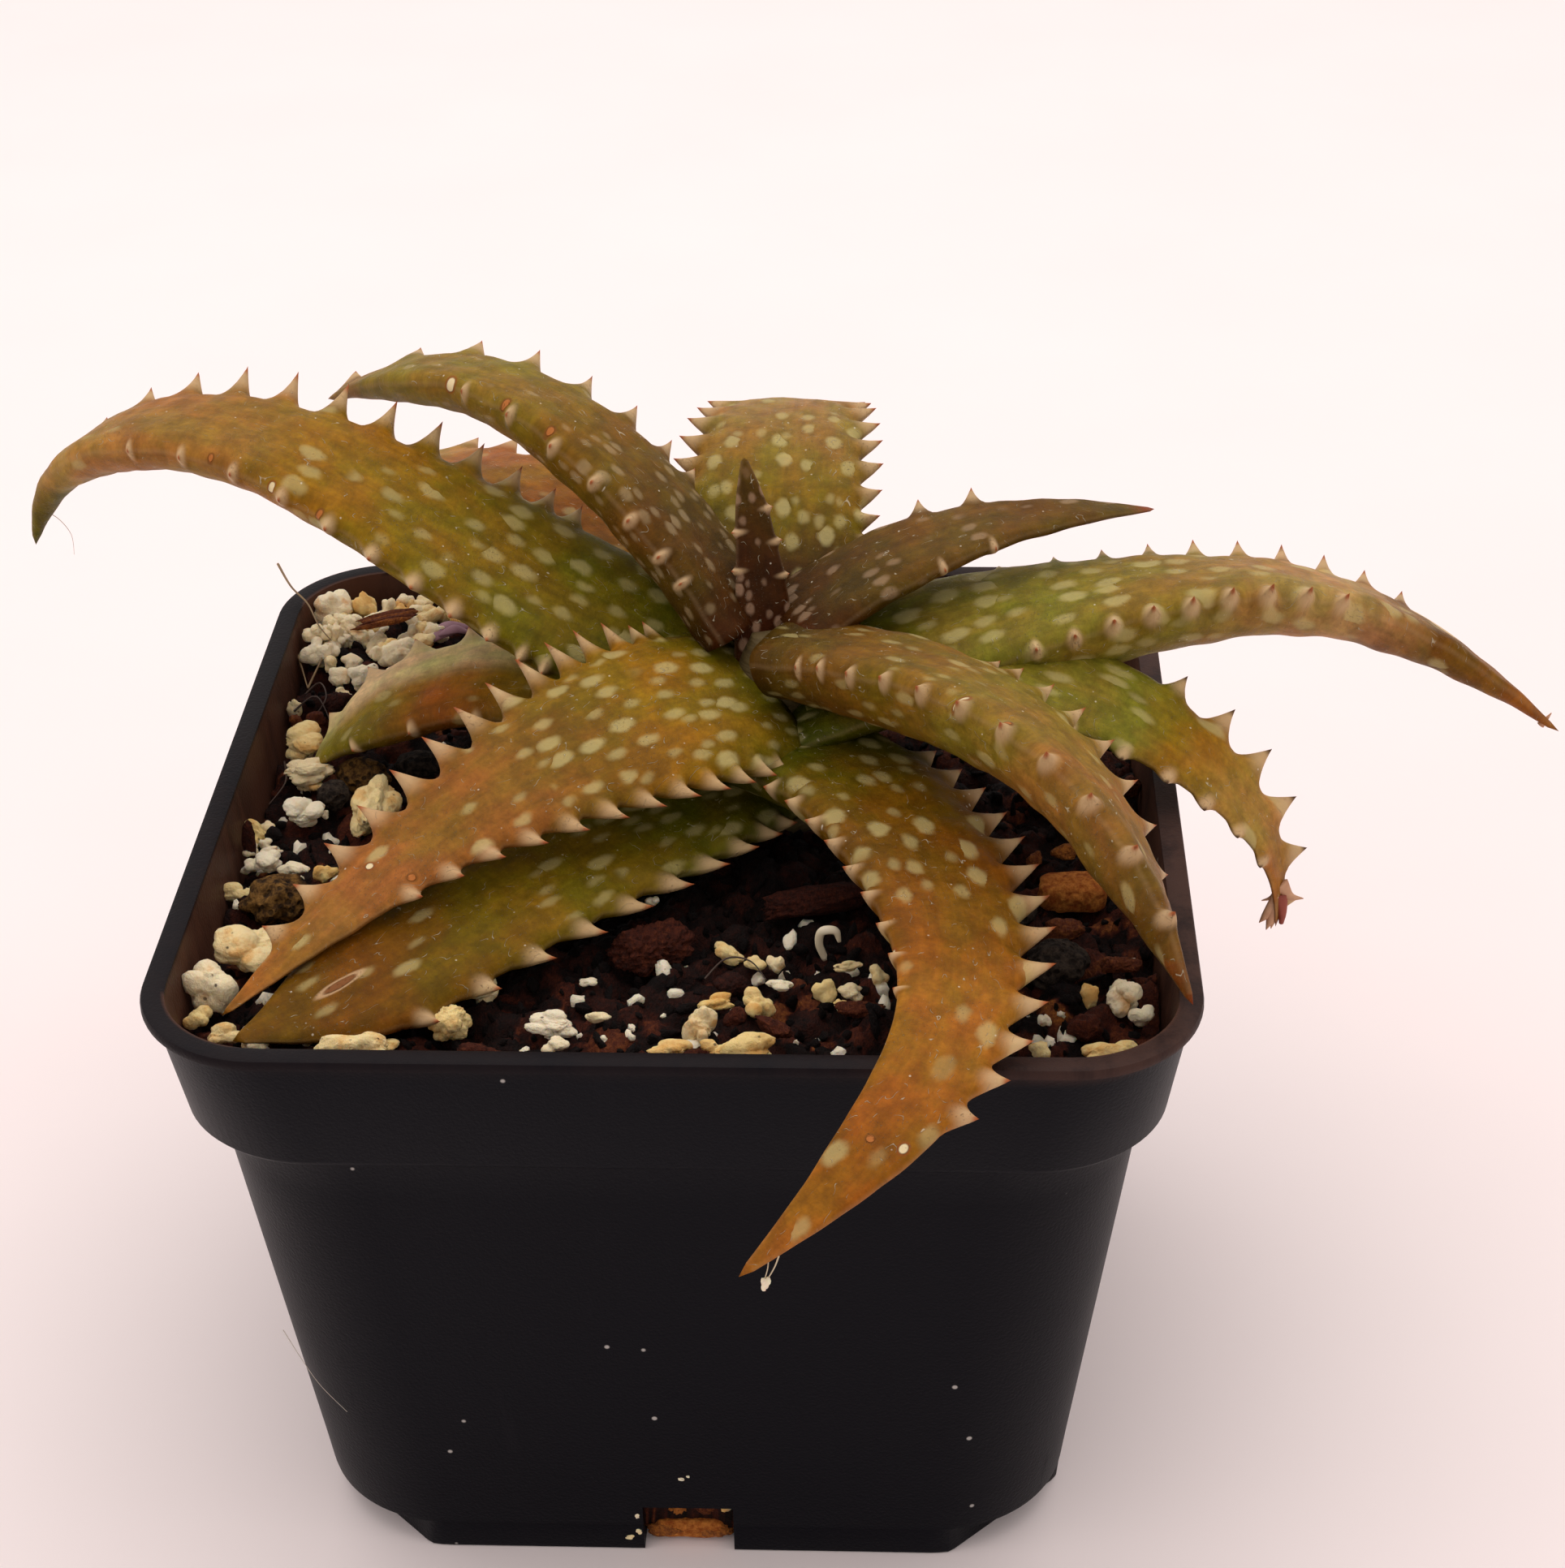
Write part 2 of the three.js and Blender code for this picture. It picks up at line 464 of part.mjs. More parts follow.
// The stations of one margin: each tooth takes its tip, both flanks and both feet
function marginStations(leaf, teeth) {
  const places = new Set([0, LAST_STATION * leaf.length]);
  for (const tooth of teeth) {
    for (const side of [-1, -TOOTH_FLANK, 0, TOOTH_FLANK, 1]) {
      places.add(Number((tooth.place + side * tooth.half).toFixed(3)));
    }
  }
  for (let k = 1; k < BLADE_STATIONS; k += 1) {
    const place = LAST_STATION * leaf.length * k / BLADE_STATIONS;
    if ([...places].every((other) => Math.abs(other - place) > 1.5)) {
      places.add(place);
    }
  }
  return [...places].filter((place) => place >= 0 && place <= LAST_STATION * leaf.length)
    .sort((a, b) => a - b);
}

// Joins two rows of points along the leaf that have stations of their own
function stitch(triangles, rowA, rowB) {
  let [i, j] = [0, 0];
  while (i + 1 < rowA.length || j + 1 < rowB.length) {
    const stepA = i + 1 < rowA.length && (j + 1 >= rowB.length || rowA[i + 1].place <= rowB[j + 1].place);
    if (stepA) {
      triangles.push([rowA[i].index, rowB[j].index, rowA[i + 1].index]);
      i += 1;
    } else {
      triangles.push([rowA[i].index, rowB[j].index, rowB[j + 1].index]);
      j += 1;
    }
  }
}

// A leaf with its margin teeth as one closed solid. A grown leaf is thicker all round by that much,
// and its teeth have straight flanks, so it holds the whole of the leaf itself.
function makeLeaf(leaf, grow) {
  const middle = midline(leaf);
  const widest = Math.max(...leaf.half);
  const widths = [...leaf.half, TIP_HALF];
  const points = [];
  const triangles = [];

  const frameAt = (place) => {
    const t = place / leaf.length;
    const tangent = directionAt(leaf, t);
    const heading = THREE.MathUtils.degToRad(along(leaf.heading, t));
    const level = new THREE.Vector3(-Math.sin(heading), Math.cos(heading), 0);
    const roll = THREE.MathUtils.degToRad(along(leaf.roll, t));
    const side = level.clone().applyAxisAngle(tangent, roll);
    const up = tangent.clone().cross(side);
    return { tangent, side, up, half: along(widths, t), centre: middle(t) };
  };
  const row = (places, placeOf) => places.map((place) => {
    const frame = frameAt(place);
    const point = placeOf(frame, place);
    if (place === 0) {
      point.addScaledVector(frame.tangent, -grow);
    }
    return { place, index: points.push(point.toArray()) - 1 };
  });

  const bladePlaces = [];
  for (let k = 0; k <= BLADE_STATIONS; k += 1) {
    bladePlaces.push(LAST_STATION * leaf.length * k / BLADE_STATIONS);
  }
  const faceRow = (share, under) => row(bladePlaces, (frame) => {
    const bulge = 1 - share * share;
    const depth = under ? -(leaf.thick * frame.half / widest) * Math.sqrt(bulge) - grow
      : FACE_CROWN * frame.half * bulge + grow;
    return frame.centre.addScaledVector(frame.side, share * frame.half).addScaledVector(frame.up, depth);
  });
  const marginRow = (side, teeth, offset) => row(marginStations(leaf, teeth), (frame, place) => {
    const [, , , , lean, , lift] = side > 0 ? leaf.left : leaf.right;
    const rise = Math.max(0, ...teeth.map((tooth) => toothRise(tooth, place, grow > 0 ? 1 : TOOTH_HOLLOW)));
    return frame.centre.addScaledVector(frame.side, side * (frame.half + rise + grow))
      .addScaledVector(frame.tangent, lean * rise)
      .addScaledVector(frame.up, offset + lift * rise);
  });

  const left = teethOf(leaf.left);
  const right = teethOf(leaf.right);
  const faces = FACE_LINES.map((share) => faceRow(share, false));
  const belly = FACE_LINES.map((share) => faceRow(-share, true));
  const rows = grow > 0
    ? [marginRow(1, left, grow), ...faces, marginRow(-1, right, grow), marginRow(-1, right, -grow),
      ...belly, marginRow(1, left, -grow)]
    : [marginRow(1, left, 0), ...faces, marginRow(-1, right, 0), ...belly];

  rows.forEach((thisRow, k) => stitch(triangles, thisRow, rows[(k + 1) % rows.length]));
  const foot = frameAt(0);
  const tip = frameAt(leaf.length);
  const footIndex = points.push(foot.centre.addScaledVector(foot.tangent, -grow).toArray()) - 1;
  const tipIndex = points.push(tip.centre.addScaledVector(tip.tangent, grow).toArray()) - 1;
  rows.forEach((thisRow, k) => {
    const nextRow = rows[(k + 1) % rows.length];
    triangles.push([footIndex, nextRow[0].index, thisRow[0].index]);
    triangles.push([tipIndex, thisRow[thisRow.length - 1].index, nextRow[nextRow.length - 1].index]);
  });
  return solidFrom(points, triangles);
}

function makeSliver(grow) {
  const [from, to] = SLIVER_ENDS.map((end) => new THREE.Vector3(...end));
  const run = to.clone().sub(from);
  const strip = new THREE.BoxGeometry(run.length() + 2 * grow, SLIVER_WIDTH + 2 * grow,
    SLIVER_THICKNESS + 2 * grow);
  strip.applyQuaternion(new THREE.Quaternion().setFromUnitVectors(
    new THREE.Vector3(1, 0, 0), run.clone().normalize()));
  strip.translate(...from.add(to).multiplyScalar(0.5).toArray());
  return solidFromGeometry(strip);
}

function makeHeap(grow) {
  const size = [HEAP_LUMP, HEAP_LUMP, HEAP_LUMP * 0.85];
  return HEAP_LUMPS.map((at, k) => lump(at, size, 40 * k, k + 30, 0, grow))
    .reduce((heap, next) => heap.add(next));
}

// Younger leaves keep their whole shape, and each older one is cut clear of the younger ones
const model = new THREE.Group();
const grownStem = makeStem(CLEARANCE);
const grownLeaves = [];
for (const leaf of LEAVES) {
  let solid = makeLeaf(leaf, 0).subtract(grownStem);
  for (const grown of grownLeaves) {
    solid = solid.subtract(grown);
  }
  grownLeaves.push(makeLeaf(leaf, CLEARANCE));
  model.add(meshFrom(leaf.name, largestPiece(solid), leaf.color, 0.5));
}
model.add(meshFrom('stem', makeStem(0), 0x6f6a3a, 0.8));
model.add(meshFrom('pot', makePot(), 0x211e22, 0.55));

// The loose pieces are cut clear of the leaves and of each other, and the mix of all of them
const carved = [...grownLeaves];
const addLoose = (name, solid, grown, color, roughness) => {
  let piece = solid;
  for (const other of carved) {
    piece = piece.subtract(other);
  }
  carved.push(grown);
  model.add(meshFrom(name, largestPiece(piece), color, roughness));
};
addLoose('bark_sliver', makeSliver(0), makeSliver(CLEARANCE), 0x5a3220, 0.9);
addLoose('perlite_heap', makeHeap(0), makeHeap(CLEARANCE), PALE, 0.9);
for (const piece of PIECES) {
  const shape = (grow) => lump(piece.at, piece.size, piece.turn, piece.seed, 1, grow);
  addLoose(piece.name, shape(0), shape(CLEARANCE), piece.color, 0.9);
}
const chip = (grow) => lump(DRAIN_CHIP.at, DRAIN_CHIP.size, DRAIN_CHIP.turn, DRAIN_CHIP.seed, 1, grow);
addLoose('bark_chip_drain', chip(0), chip(CLEARANCE), 0x9a5a2c, 0.9);

let mix = makeMix().subtract(grownStem);
for (const grown of carved) {
  mix = mix.subtract(grown);
}
model.add(meshFrom('potting_mix', largestPiece(mix), 0x2f1c14, 1));

export default model;
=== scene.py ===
# %% [markdown]
# # A potted spotted aloe
# The frame holds the plain solids of the plant and its pot, at their real size. This lesson puts a
# finer piece in the place of each solid: leaves with toothed margins and spotted skin, a moulded pot,
# and a gritty mix with perlite, bark and pumice. The solids keep their places, so each new piece
# repeats the sizes that the solids were drawn with.

import math

import bmesh
import bpy
import numpy as np
from mathutils import Matrix, Vector


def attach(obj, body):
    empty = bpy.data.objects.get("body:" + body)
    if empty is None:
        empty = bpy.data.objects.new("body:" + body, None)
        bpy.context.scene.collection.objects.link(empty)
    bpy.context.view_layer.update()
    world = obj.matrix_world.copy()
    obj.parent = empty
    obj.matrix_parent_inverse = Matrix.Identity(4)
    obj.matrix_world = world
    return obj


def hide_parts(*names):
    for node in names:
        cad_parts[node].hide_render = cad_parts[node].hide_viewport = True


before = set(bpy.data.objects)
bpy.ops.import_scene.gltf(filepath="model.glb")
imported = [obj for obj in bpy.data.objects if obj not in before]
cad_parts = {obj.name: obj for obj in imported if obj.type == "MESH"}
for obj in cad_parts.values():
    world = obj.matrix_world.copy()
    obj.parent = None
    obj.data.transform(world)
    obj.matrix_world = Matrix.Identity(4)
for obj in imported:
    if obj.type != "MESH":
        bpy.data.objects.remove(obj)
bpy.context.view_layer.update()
print("solids in the frame:", len(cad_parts))

# %% [markdown]
# Plants and pots are easier to think about in millimetres, so all the tables below are in
# millimetres and a mesh is scaled to metres once, when it is made.

# %% Sizes and small helpers
MM = 0.001
POT_HEIGHT = 70.5
RIM_HALF = 50


def piece_from(name, points, faces, finish):
    """A smooth mesh object at the origin, from points in millimetres."""
    mesh = bpy.data.meshes.new(name)
    mesh.from_pydata(np.asarray(points) * MM, [], faces)
    mesh.materials.append(finish)
    mesh.shade_smooth()
    piece = bpy.data.objects.new(name, mesh)
    bpy.context.scene.collection.objects.link(piece)
    return piece


def set_values(piece, name, values):
    """Stores one number for each point of a piece, for its finish to read."""
    attribute = piece.data.attributes.new(name, "FLOAT", "POINT")
    attribute.data.foreach_set("value", np.asarray(values, np.float32))


def carry(piece, slot, *nodes):
    """The piece stands on the part's one body and hides the solids it stands for. The slot is not used."""
    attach(piece, "root")
    if nodes:
        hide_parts(*nodes)
    print(piece.name, len(piece.data.polygons), "faces for", len(nodes), "solids")


def paint(code):
    """A colour written as on a paint chip, turned into the linear numbers that shaders use."""
    parts = [int(code[k:k + 2], 16) / 255 for k in (1, 3, 5)]
    return tuple(c / 12.92 if c <= 0.04045 else ((c + 0.055) / 1.055) ** 2.4 for c in parts) + (1.0,)


# %% [markdown]
# ## Writing shaders as expressions
# A finish is a tree of nodes. `Wire` wraps one output socket, so that `0.4 + 0.2 * noise` adds its
# Math nodes by itself. `Finish` holds the tree and has one method that adds any node.

# %% Wires and finishes
class Wire:
    """One output socket of a finish, which takes part in Python expressions."""

    def __init__(self, finish, socket):
        self.finish = finish
        self.socket = socket

    def __add__(self, other):
        return self.finish.maths("ADD", self, other)

    def __sub__(self, other):
        return self.finish.maths("SUBTRACT", self, other)

    def __rsub__(self, other):
        return self.finish.maths("SUBTRACT", other, self)

    def __mul__(self, other):
        return self.finish.maths("MULTIPLY", self, other)

    def __truediv__(self, other):
        return self.finish.maths("DIVIDE", self, other)

    __radd__ = __add__
    __rmul__ = __mul__


class Finish:
    """A material and its node tree."""

    def __init__(self, name):
        self.material = bpy.data.materials.new(name)
        self.material.use_nodes = True
        self.tree = self.material.node_tree
        self.tree.nodes.clear()

    def node(self, kind, settings=None, sockets=None, output=0):
        """Adds a node: its settings first, then the values or wires of its sockets."""
        made = self.tree.nodes.new(kind)
        for name, value in (settings or {}).items():
            if name == "stops":
                self.set_stops(made.color_ramp, value)
            else:
                setattr(made, name, value)
        for key, value in (sockets or {}).items():
            if isinstance(value, Wire):
                self.tree.links.new(value.socket, made.inputs[key])
            else:
                made.inputs[key].default_value = value
        return Wire(self, made.outputs[output]) if made.outputs else None

    @staticmethod
    def set_stops(ramp, stops):
        while len(ramp.elements) < len(stops):
            ramp.elements.new(1.0)
        for element, (place, colour) in zip(ramp.elements, stops):
            element.position = place
            element.color = colour

    def maths(self, operation, *values):
        return self.node("ShaderNodeMath", {"operation": operation}, dict(enumerate(values)))

    def step(self, value, low, high, bottom=0.0, top=1.0):
        """Rises smoothly from bottom to top while the value goes from low to high."""
        return self.node("ShaderNodeMapRange", {"interpolation_type": "SMOOTHSTEP"},
                         {0: value, 1: low, 2: high, 3: bottom, 4: top})

    def blend(self, share, first, second):
        """Mixes two colours."""
        return self.node("ShaderNodeMix", {"data_type": "RGBA"}, {0: share, 6: first, 7: second}, output=2)

    def noise(self, where, scale, detail=2.0, rough=0.5):
        return self.node("ShaderNodeTexNoise", None,
                         {"Vector": where, "Scale": scale, "Detail": detail, "Roughness": rough})

    def cells(self, where, scale):
        """The distance to the middle of the nearest of many scattered cells."""
        return self.node("ShaderNodeTexVoronoi", None, {"Vector": where, "Scale": scale})

    def vector_maths(self, operation, *values, output=0):
        return self.node("ShaderNodeVectorMath", {"operation": operation}, dict(enumerate(values)), output)

    def stretched(self, where, scale):
        """Coordinates multiplied axis by axis."""
        return self.vector_maths("MULTIPLY", where, scale)

    def axis(self, vector, k):
        """One of a vector's numbers: 0, 1 or 2 for x, y or z."""
        return self.node("ShaderNodeSeparateXYZ", None, {0: vector}, output=k)

    def attribute(self, name, output=2):
        """What is stored on the piece's points: output 2 is a number and output 1 a vector."""
        return self.node("ShaderNodeAttribute", {"attribute_name": name}, output=output)

    def shader(self, bump=None, depth=0.1, **sockets):
        """The surface itself. depth is how far the bump's height of 1 stands out, in millimetres."""
        inputs = {name.replace("_", " "): value for name, value in sockets.items()}
        if bump is not None:
            inputs["Normal"] = self.node("ShaderNodeBump", None, {"Distance": depth * MM, "Height": bump})
        surface = self.node("ShaderNodeBsdfPrincipled", None, inputs)
        self.node("ShaderNodeOutputMaterial", None, {"Surface": surface})
        return self.material

    def place(self):
        """Object coordinates, in millimetres."""
        coordinates = self.node("ShaderNodeTexCoord", output=3)
        return self.stretched(coordinates, (1000, 1000, 1000))


# %% [markdown]
# ## The camera and the light
# The photograph looks down on the pot from the front. Its camera was found from the pot's corners, so
# the render can be laid over the photograph. The light is that of a pale tent: bright from above and
# behind, a little from the left, and soft from all sides.

# %% Camera
CAMERA_PLACE = (22.1, -283.7, 240.5)
CAMERA_YAW = math.radians(-2.60)
CAMERA_PITCH = math.radians(30.91)
CAMERA_ROLL = math.radians(-0.895)
CAMERA_LENS = 73.32
CAMERA_SENSOR = 36
NEAREST_SEEN = 0.01


def camera_axes():
    """The camera's right, up and backward directions."""
    forward = Vector((math.sin(CAMERA_YAW) * math.cos(CAMERA_PITCH),
                      math.cos(CAMERA_YAW) * math.cos(CAMERA_PITCH), -math.sin(CAMERA_PITCH)))
    level = Vector((math.cos(CAMERA_YAW), -math.sin(CAMERA_YAW), 0))
    upright = level.cross(forward)
    right = level * math.cos(CAMERA_ROLL) + upright * math.sin(CAMERA_ROLL)
    up = upright * math.cos(CAMERA_ROLL) - level * math.sin(CAMERA_ROLL)
    return right, up, -forward


camera = bpy.data.objects.new("camera", bpy.data.cameras.new("camera"))
camera.data.sensor_fit = "HORIZONTAL"
camera.data.sensor_width = CAMERA_SENSOR
camera.data.lens = CAMERA_LENS
camera.data.clip_start = NEAREST_SEEN
camera_turn = Matrix(camera_axes()).transposed().to_4x4()
camera.matrix_world = Matrix.Translation(Vector(CAMERA_PLACE) * MM) @ camera_turn
bpy.context.scene.collection.objects.link(camera)
bpy.context.scene.camera = camera
print("camera at", tuple(round(x, 3) for x in camera.location))

# %% [markdown]
# Two area lamps and an even, pale world light the scene. The floor is one large sheet with a faint
# noise in its colour. It is staged, so it does not belong to the part.

# %% Light and floor
FLOOR_HALF = 3000
LAMP_COLOUR = (1.0, 0.96, 0.94)
LAMP_AIM = (0, 0, 60)
TENT_COLOUR = (1.0, 0.955, 0.935, 1.0)
TENT_STRENGTH = 0.78
LAMPS = {
    "overhead": {"place": (-20, 220, 900), "size": 1200, "watts": 4.8},
    "left_fill": {"place": (-900, -500, 600), "size": 900, "watts": 0.8},
}


def hang_lamp(name, place, size, watts):
    lamp = bpy.data.objects.new(name, bpy.data.lights.new(name, "AREA"))
    lamp.data.size = size * MM
    lamp.data.energy = watts
    lamp.data.color = LAMP_COLOUR
    lamp.location = Vector(place) * MM
    lamp.rotation_euler = (Vector(LAMP_AIM) - Vector(place)).to_track_quat("-Z", "Y").to_euler()
    bpy.context.scene.collection.objects.link(lamp)


for name, lamp in LAMPS.items():
    hang_lamp(name, **lamp)

world = bpy.data.worlds.new("pale_tent")
world.use_nodes = True
tent = world.node_tree.nodes["Background"]
tent.inputs["Color"].default_value = TENT_COLOUR
tent.inputs["Strength"].default_value = TENT_STRENGTH
bpy.context.scene.world = world
bpy.context.scene.view_settings.view_transform = "Standard"

floor_finish = Finish("floor_paper")
floor_grain = floor_finish.noise(floor_finish.place(), 0.02, 3.0)
floor_colour = floor_finish.blend(floor_grain, paint("#f8eae9"), paint("#fdefee"))
floor_paper = floor_finish.shader(Base_Color=floor_colour, Roughness=0.9)
floor_corners = [(x * FLOOR_HALF, y * FLOOR_HALF, 0) for x, y in ((-1, -1), (1, -1), (1, 1), (-1, 1))]
floor = piece_from("floor", floor_corners, [(0, 1, 2, 3)], floor_paper)
print("lamps:", ", ".join(LAMPS))

# %% [markdown]
# ## The pot
# The pot is moulded from charcoal black plastic: a flat lip, a deep collar, a body that narrows
# downwards and a foot with its corners cut back. Every level of it is a rounded square, so one wall
# of rings makes it, from the foot up the outside, over the lip and down the inside. A rounded square
# is found here by the distance from the middle to the edge in each direction, because then every
# ring has the same number of points.

# %% The pot's sizes, in millimetres
LIP_WIDTH = 2.4
LIP_HEIGHT = 1.2
LIP_OVERHANG = 0.9
RIM_CORNER = 12.8
WALL = 1.2
COLLAR_FOOT = POT_HEIGHT - 13.9
COLLAR_FOOT_HALF = 47.5
COLLAR_CORNER = 13.4
BODY_TOP_HALF = 45.7
BODY_TOP_CORNER = 15.6
BODY_FOOT_HALF = 39.2
FOOT_HALF = 38.9
FOOT_CORNER = 14
FOOT_HEIGHT = 3.7
FOOT_DIAGONAL = 66
POT_FLOOR = 1.5
SLOT_WIDTH = 9.4
SLOT_HEIGHT = 6.6
SLOT_DEPTH = 5.5
RING_POINTS = 360
SHARP_ANGLE = 40


def edge_distance(angle, half, corner, diagonal=None):
    """How far the edge of a rounded square lies from its middle in the direction of each angle."""
    across = np.abs(np.cos(angle))
    up = np.abs(np.sin(angle))
    flat = half / np.maximum(across, up)
    middle = half - corner
    toward = middle * (across + up)
    bend = toward + np.sqrt(np.maximum(toward ** 2 - 2 * middle ** 2 + corner ** 2, 0))
    in_corner = np.minimum(across, up) * flat > middle
    distance = np.where(in_corner, bend, flat)
    if diagonal:
        distance = np.minimum(distance, diagonal / (across + up))
    return distance


def points_around(angle, distance, z, middle=(0, 0)):
    """Points at one level, at these angles and distances around a middle."""
    x = middle[0] + distance * np.cos(angle)
    y = middle[1] + distance * np.sin(angle)
    return np.stack([x, y, np.full(len(angle), z)], 1)


def full_turn(count):
    return np.linspace(0, 2 * math.pi, count, endpoint=False)


def ring_at(z, half, corner, diagonal=None):
    angle = full_turn(RING_POINTS)
    return points_around(angle, edge_distance(angle, half, corner, diagonal), z)


def skin_rings(rings):
    """Points and faces of a closed shell through rings of points, with a fan at both ends."""
    count = len(rings[0])
    points = np.concatenate(rings)
    faces = []
    for level in range(len(rings) - 1):
        for k in range(count):
            a, b = level * count + k, level * count + (k + 1) % count
            faces.append((a, b, b + count, a + count))
    low, high = len(points), len(points) + 1
    points = np.concatenate([points, [rings[0].mean(0)], [rings[-1].mean(0)]])
    last = (len(rings) - 1) * count
    faces += [(low, (k + 1) % count, k) for k in range(count)]
    faces += [(high, last + k, last + (k + 1) % count) for k in range(count)]
    return points, faces


# %% [markdown]
# The wall is a list of levels, up the outside, over the lip and down the inside. Levels that lie close
# together keep an edge crisp. A Boolean modifier cuts the drain slots with boxes, and it is applied at
# once, so that the piece is left with a plain mesh.

# %% The pot's wall
def pot_rings():
    """The wall's rings. A level has a height, a half width, a corner radius and perhaps a diagonal."""
    lip_under = POT_HEIGHT - LIP_HEIGHT
    inner = RIM_HALF - LIP_WIDTH
    outside = [
        (0.0, FOOT_HALF - 0.4, FOOT_CORNER, FOOT_DIAGONAL - 0.5),
        (0.15, FOOT_HALF - 0.1, FOOT_CORNER, FOOT_DIAGONAL - 0.15),
        (0.5, FOOT_HALF, FOOT_CORNER, FOOT_DIAGONAL),
        (FOOT_HEIGHT - 0.1, BODY_FOOT_HALF, FOOT_CORNER, FOOT_DIAGONAL),
        (FOOT_HEIGHT, BODY_FOOT_HALF, FOOT_CORNER, FOOT_DIAGONAL + 0.1),
        (FOOT_HEIGHT + 0.05, BODY_FOOT_HALF, FOOT_CORNER),
        (FOOT_HEIGHT + 0.6, BODY_FOOT_HALF + 0.1, FOOT_CORNER),
    ]
    for share in np.linspace(0.1, 1, 10):
        outside.append((FOOT_HEIGHT + share * (COLLAR_FOOT - 0.6 - FOOT_HEIGHT),
                        BODY_FOOT_HALF + share * (BODY_TOP_HALF - BODY_FOOT_HALF),
                        FOOT_CORNER + share * (BODY_TOP_CORNER - FOOT_CORNER)))
    outside += [
        (COLLAR_FOOT - 0.35, BODY_TOP_HALF + 0.15, BODY_TOP_CORNER),
        (COLLAR_FOOT - 0.15, COLLAR_FOOT_HALF - 0.7, COLLAR_CORNER + 0.6),
        (COLLAR_FOOT + 0.1, COLLAR_FOOT_HALF - 0.25, COLLAR_CORNER + 0.2),
        (COLLAR_FOOT + 0.6, COLLAR_FOOT_HALF, COLLAR_CORNER),
        (lip_under - 0.5, RIM_HALF - LIP_OVERHANG, RIM_CORNER),
        (lip_under - 0.15, RIM_HALF - LIP_OVERHANG + 0.08, RIM_CORNER),
        (lip_under, RIM_HALF - 0.35, RIM_CORNER),
        (lip_under + 0.12, RIM_HALF - 0.06, RIM_CORNER),
        (lip_under + 0.4, RIM_HALF, RIM_CORNER),
        (POT_HEIGHT - 0.4, RIM_HALF, RIM_CORNER),
        (POT_HEIGHT - 0.1, RIM_HALF - 0.12, RIM_CORNER - 0.12),
        (POT_HEIGHT, RIM_HALF - 0.45, RIM_CORNER - 0.45),
        (POT_HEIGHT, inner + 0.5, RIM_CORNER - LIP_WIDTH + 0.5),
        (POT_HEIGHT - 0.12, inner + 0.12, RIM_CORNER - LIP_WIDTH + 0.12),
        (POT_HEIGHT - 0.5, inner, RIM_CORNER - LIP_WIDTH),
    ]
    inside = [
        (COLLAR_FOOT + WALL, COLLAR_FOOT_HALF - WALL, COLLAR_CORNER - WALL),
        (COLLAR_FOOT - WALL / 2, BODY_TOP_HALF - WALL, BODY_TOP_CORNER - WALL),
        (FOOT_HEIGHT + POT_FLOOR, BODY_FOOT_HALF - WALL, FOOT_CORNER - WALL),
        (FOOT_HEIGHT + POT_FLOOR - 0.05, BODY_FOOT_HALF - WALL, FOOT_CORNER - WALL,
         FOOT_DIAGONAL - 2 * WALL),
        (POT_FLOOR, FOOT_HALF - WALL, FOOT_CORNER - WALL, FOOT_DIAGONAL - 2 * WALL),
    ]
    return [ring_at(*level) for level in outside + inside]


def cut_slots(pot):
    """Cuts a drain slot through the middle of each side of the foot."""
    near = FOOT_HALF - SLOT_DEPTH
    for turn in range(4):
        low = np.array([near, -SLOT_WIDTH / 2, -1])
        high = np.array([RIM_HALF, SLOT_WIDTH / 2, SLOT_HEIGHT])
        corners = [[(low, high)[k >> axis & 1][axis] for axis in range(3)] for k in range(8)]
        faces = [(0, 2, 3, 1), (4, 5, 7, 6), (0, 1, 5, 4), (2, 6, 7, 3), (0, 4, 6, 2), (1, 3, 7, 5)]
        cutter = piece_from("cutter", corners, faces, pot.data.materials[0])
        cutter.data.transform(Matrix.Rotation(turn * math.pi / 2, 4, "Z"))
        cut = pot.modifiers.new("slot", "BOOLEAN")
        cut.object = cutter
        cut.solver = "EXACT"
        settle(pot)
        bpy.data.objects.remove(cutter)


def settle(piece):
    """Turns what the modifiers show into the piece's own mesh, and takes the modifiers away."""
    bpy.context.view_layer.update()
    shown = piece.evaluated_get(bpy.context.evaluated_depsgraph_get())
    mesh = bpy.data.meshes.new_from_object(shown)
    piece.modifiers.clear()
    piece.data = mesh
